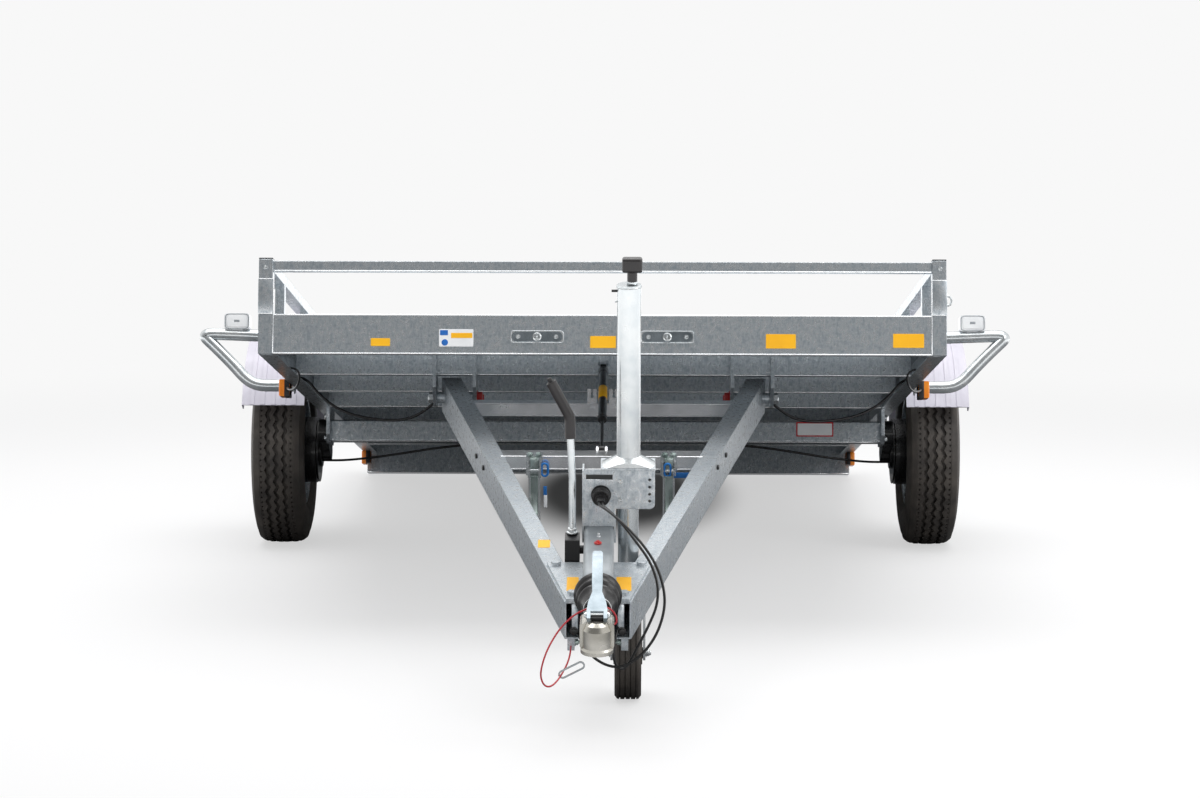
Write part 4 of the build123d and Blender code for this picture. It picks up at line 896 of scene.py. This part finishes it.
# Tower and jockey: wing screws, the plug ring's ridges, tube bead, crank sleeve, pin, and the nuts and
# spacers on the jockey wheel's axle.
tower = {"face": -1680, "screws": (256, 205), "screwX": 55.5, "ridges": (9, 16, 23), "lip": 31.6}
jockey = {"x": 76, "reach": 1640, "tubeTop": 771, "pinLevel": 754, "nippleLevel": 727}


def makeTowerFittings():
    face = tower["face"]
    spots = [((tower["screwX"], face - 0.3, z), front) for z in tower["screws"]]
    onDrawbar(copies(addSocketHead(12, 5), spots), "wingScrews", zinc)
    ridges = [addRing((plug["x"], face - depth, plug["z"]), back, 22.4, 1.5) for depth in tower["ridges"]]
    lip = addRing((plug["x"], face - tower["lip"], plug["z"]), back, 19.2, 2.4)
    onDrawbar([lip] + ridges, "plugRingRidges", black)
    x, y, top = jockey["x"], -jockey["reach"], jockey["tubeTop"]
    bead = addRing((x, y, top - 5), up, 31.6, 1.7)
    sleeve = addRod((x + 8, y, top + 1), (x + 8, y, top + 9), 14.2, 1.2)
    pin = addRod((x - 30, y, jockey["pinLevel"]), (x - 45, y, jockey["pinLevel"]), 3.4, 0.8)
    nipple = addRod((x - 30, y - 4, jockey["nippleLevel"]), (x - 36, y - 5, jockey["nippleLevel"]), 2.6, 0.6)
    onDrawbar([bead, sleeve, nipple], "jockeyTubeTrim", zinc)
    onDrawbar([pin], "jockeyPin", blackPaint)
    x, y, z = (value / mm for value in drawbarPlace.inverted() @ Vector(jointOf["jockey_spin"]["pos_m"]))
    ends = [((x + sign * 47, y, z), (sign, 0, 0)) for sign in (-1, 1)]
    onDrawbar(copies(addNut(19, 8, 12), ends), "jockeyAxleNuts", zinc, "jockey_fork")
    spacers = [addRod((x + sign * 37, y, z), (x + sign * 46, y, z), 15, 1.5) for sign in (-1, 1)]
    onDrawbar(spacers, "jockeySpacers", black, "jockey_fork")


makeTowerFittings()

# Overrun device: red wear button, handle rivet, grease nipples and the latch behind the dome.
coupling = {"button": (-2, -1812, 129), "rivet": (-2298, 108), "rivetHead": 25.5, "nipples": (-1760, -1960)}


def makeCouplingFittings():
    x, y, z = coupling["button"]
    onDrawbar([addRod((x, y, z), (x, y, z + 5), 10, 1.5), addRod((x, y, z + 4), (x, y, z + 9), 4.5, 1.2)],
              "wearButton", "redEnamel")
    y, z = coupling["rivet"]
    heads = [((sign * coupling["rivetHead"], y, z), (sign, 0, 0)) for sign in (-1, 1)]
    rivet = [addRod((-30, y, z), (30, y, z), 6, 1.2)]
    onDrawbar(rivet + copies(addHexHead(15, 5, 19), heads), "handlePivot", zinc)
    grease = []
    for y in coupling["nipples"]:
        grease += [addRod((0, y, 126), (0, y, 134), 5.5, 0.8, 6), addRod((0, y, 133), (0, y, 141), 3, 1.0)]
    onDrawbar(grease, "greaseNipples", zinc)
    lock = [addBlock((-15, -2306, 97), (15, -2286, 112), 3),
            addRod((-16, -2308, 104), (16, -2308, 104), 3.5, 0.8)]
    onDrawbar(lock, "couplingLock", black)


makeCouplingFittings()

# Handbrake: the lever's socket and a release button at the grip's end. The damper between bed and drawbar
# has a yellow band and two collars, placed as shares of the way from its eye on the bed.
handbrake = {"socket": (-69.5, -1702, 100), "grip": (-124.5, -1659, 516), "gripWay": (-0.55, 0.1, 1)}
damper = {"eye": (0, 590, 20), "foot": (0, -712, 48), "band": (0.27, 0.41), "collars": (0.07, 0.62),
          "collarShare": 0.012}


def alongDamper(share):
    eye, foot = bedPlace @ (Vector(damper["eye"]) * mm), drawbarPlace @ (Vector(damper["foot"]) * mm)
    return (eye + share * (foot - eye)) / mm


def makeHandbrakeFittings():
    x, y, z = handbrake["socket"]
    socket = [addRod((x, y + 8, z + 18.5), (x, y + 8, z + 24), 15, 1.5),
              addRod((x, y + 9, z + 23), (x, y + 9, z + 34), 11.2, 1.5)]
    onDrawbar(socket, "leverSocket", zinc)
    end, away = Vector(handbrake["grip"]), Vector(handbrake["gripWay"]).normalized()
    button = [addRod(end - 3 * away, end + 3 * away, 9, 1.5), addRod(end, end + 12 * away, 6, 2.2)]
    onDrawbar(button, "brakeButton", black)
    band = addRod(*(alongDamper(share) for share in damper["band"]), 13.5, 0.3)
    setPiece([band], "damperBand", Matrix(), "damper_tube", "yellowFilm")
    collars = [addRod(alongDamper(share), alongDamper(share + damper["collarShare"]), 13.9, 0.5)
               for share in damper["collars"]]
    setPiece(collars, "damperCollars", Matrix(), "damper_tube", blackPaint)


makeHandbrakeFittings()
print("drawbar fitted out")

# Pale studio: floor and backdrop read as one white sweep. Behind the camera the room is dim, and bright
# again overhead, which is what the metal mirrors.
studio = {"distance": 9.5023, "side": 0.0635, "height": 1.6256, "pitch": 5.5644, "yaw": 0.4312,
          "roll": -0.1327, "lens": 98.568, "fill": 0.60, "backdrop": "#f8f8f8", "floor": "#f4f4f5",
          "floorDull": "#7d7e80", "floorShade": "#7c7d7e", "glowReach": (2.3, 4.8), "glowStrength": 1.8,
          "dimTowards": (-0.42, -0.9, 0.0), "dimSpan": (0.15, 0.85), "dimLevel": 0.26,
          "overheadSpan": (0.5, 0.85), "floorFade": (3.4, 8.0), "floorKeep": 0.62,
          "underMiddle": (0.04, 2.2, 0.0), "underReach": (0.44, 1.35, 1.0), "underSpan": (0.55, 1.2),
          "underKeep": 0.05}
softboxes = {"rightBox": {"at": (4.4, -3.6, 3.6), "to": (0, -0.6, 0.4), "size": 2.6, "power": 70},
             "topBox": {"at": (0, 0.2, 5.4), "to": (0, 0.2, 0), "size": 6.5, "power": 330}}


def makeWorld():
    world = bpy.data.worlds.new("studio")
    world.use_nodes = True
    tree = world.node_tree
    tree.nodes.clear()
    path = addNode(tree, "ShaderNodeLightPath")
    direction = addNode(tree, "ShaderNodeTexCoord").outputs["Generated"]
    towards = addVectorMath(tree, "DOT_PRODUCT", direction, studio["dimTowards"])["Value"]
    dim = addRange(tree, towards, studio["dimSpan"], 1.0, studio["dimLevel"], "SMOOTHSTEP")
    rise = addNode(tree, "ShaderNodeSeparateXYZ", {"Vector": direction}).outputs["Z"]
    overhead = addRange(tree, rise, studio["overheadSpan"])
    reflected = addMath(tree, "MAXIMUM", dim, overhead)
    glossy = addMath(tree, "MAXIMUM", path.outputs["Is Glossy Ray"], path.outputs["Is Transmission Ray"])
    strength = addMix(tree, glossy, studio["fill"], reflected)
    light = addNode(tree, "ShaderNodeBackground", {"Color": (1, 1, 1, 1), "Strength": strength})
    seen = addNode(tree, "ShaderNodeBackground", {"Color": linear(studio["backdrop"]), "Strength": 1.0})
    shown = mixShaders(tree, path.outputs["Is Camera Ray"], light.outputs[0], seen.outputs[0])
    addNode(tree, "ShaderNodeOutputWorld", {"Surface": shown})
    bpy.context.scene.world = world


def makeFloor():
    bpy.ops.object.select_all(action="DESELECT")
    bpy.ops.mesh.primitive_plane_add(size=80, location=(0, 0, 0))
    floor = bpy.context.object
    floor.name = "floor"
    material, tree, where = newMaterial("whiteSweep")
    seen = addNode(tree, "ShaderNodeLightPath").outputs["Is Camera Ray"]

    def matt(colour):
        return addNode(tree, "ShaderNodeBsdfDiffuse", {"Color": linear(studio[colour])}).outputs[0]

    radius = addVectorMath(tree, "LENGTH", where)["Value"]
    fade = addRange(tree, radius, studio["floorFade"], studio["floorKeep"], 1.0, "SMOOTHSTEP")
    away = addVectorMath(tree, "SUBTRACT", where, studio["underMiddle"])[0]
    scaled = addVectorMath(tree, "DIVIDE", away, studio["underReach"])[0]
    under = addVectorMath(tree, "LENGTH", scaled)["Value"]
    shaded = addRange(tree, under, studio["underSpan"], studio["underKeep"], 1.0, "SMOOTHSTEP")
    lifted = addMath(tree, "MULTIPLY", fade, shaded)
    glow = addRange(tree, radius, studio["glowReach"], 0.0, 1.0, "SMOOTHSTEP")
    share = addMix(tree, seen, glow, lifted)
    plain = mixShaders(tree, shaded, matt("floorShade"), matt("floor"))
    painted = mixShaders(tree, seen, matt("floorDull"), plain)
    strength = addMix(tree, seen, studio["glowStrength"], 1.0)
    lit = addNode(tree, "ShaderNodeEmission", {"Color": linear(studio["backdrop"]), "Strength": strength})
    closeMaterial(tree, mixShaders(tree, share, painted, lit.outputs[0]))
    floor.data.materials.append(material)


def makeLamps():
    for name, box in softboxes.items():
        lamp = bpy.data.lights.new(name, "AREA")
        lamp.size = box["size"]
        lamp.energy = box["power"]
        holder = bpy.data.objects.new(name, lamp)
        holder.location = box["at"]
        towards = Vector(box["to"]) - Vector(box["at"])
        holder.rotation_euler = towards.to_track_quat("-Z", "Y").to_euler()
        bpy.context.collection.objects.link(holder)


def makeCamera():
    boardFoot = bedPlace @ Vector((0, 0, 0))
    camera = bpy.data.cameras.new("camera")
    camera.lens = studio["lens"]
    camera.sensor_width = 36
    camera.clip_end = 200
    holder = bpy.data.objects.new("camera", camera)
    holder.location = (studio["side"], boardFoot.y - studio["distance"], studio["height"])
    holder.rotation_euler = (math.radians(90 - studio["pitch"]), math.radians(studio["roll"]),
                             math.radians(studio["yaw"]))
    bpy.context.collection.objects.link(holder)
    bpy.context.scene.camera = holder


bpy.context.scene.view_settings.view_transform = "Standard"
makeWorld()
makeFloor()
makeLamps()
makeCamera()
print("studio ready")
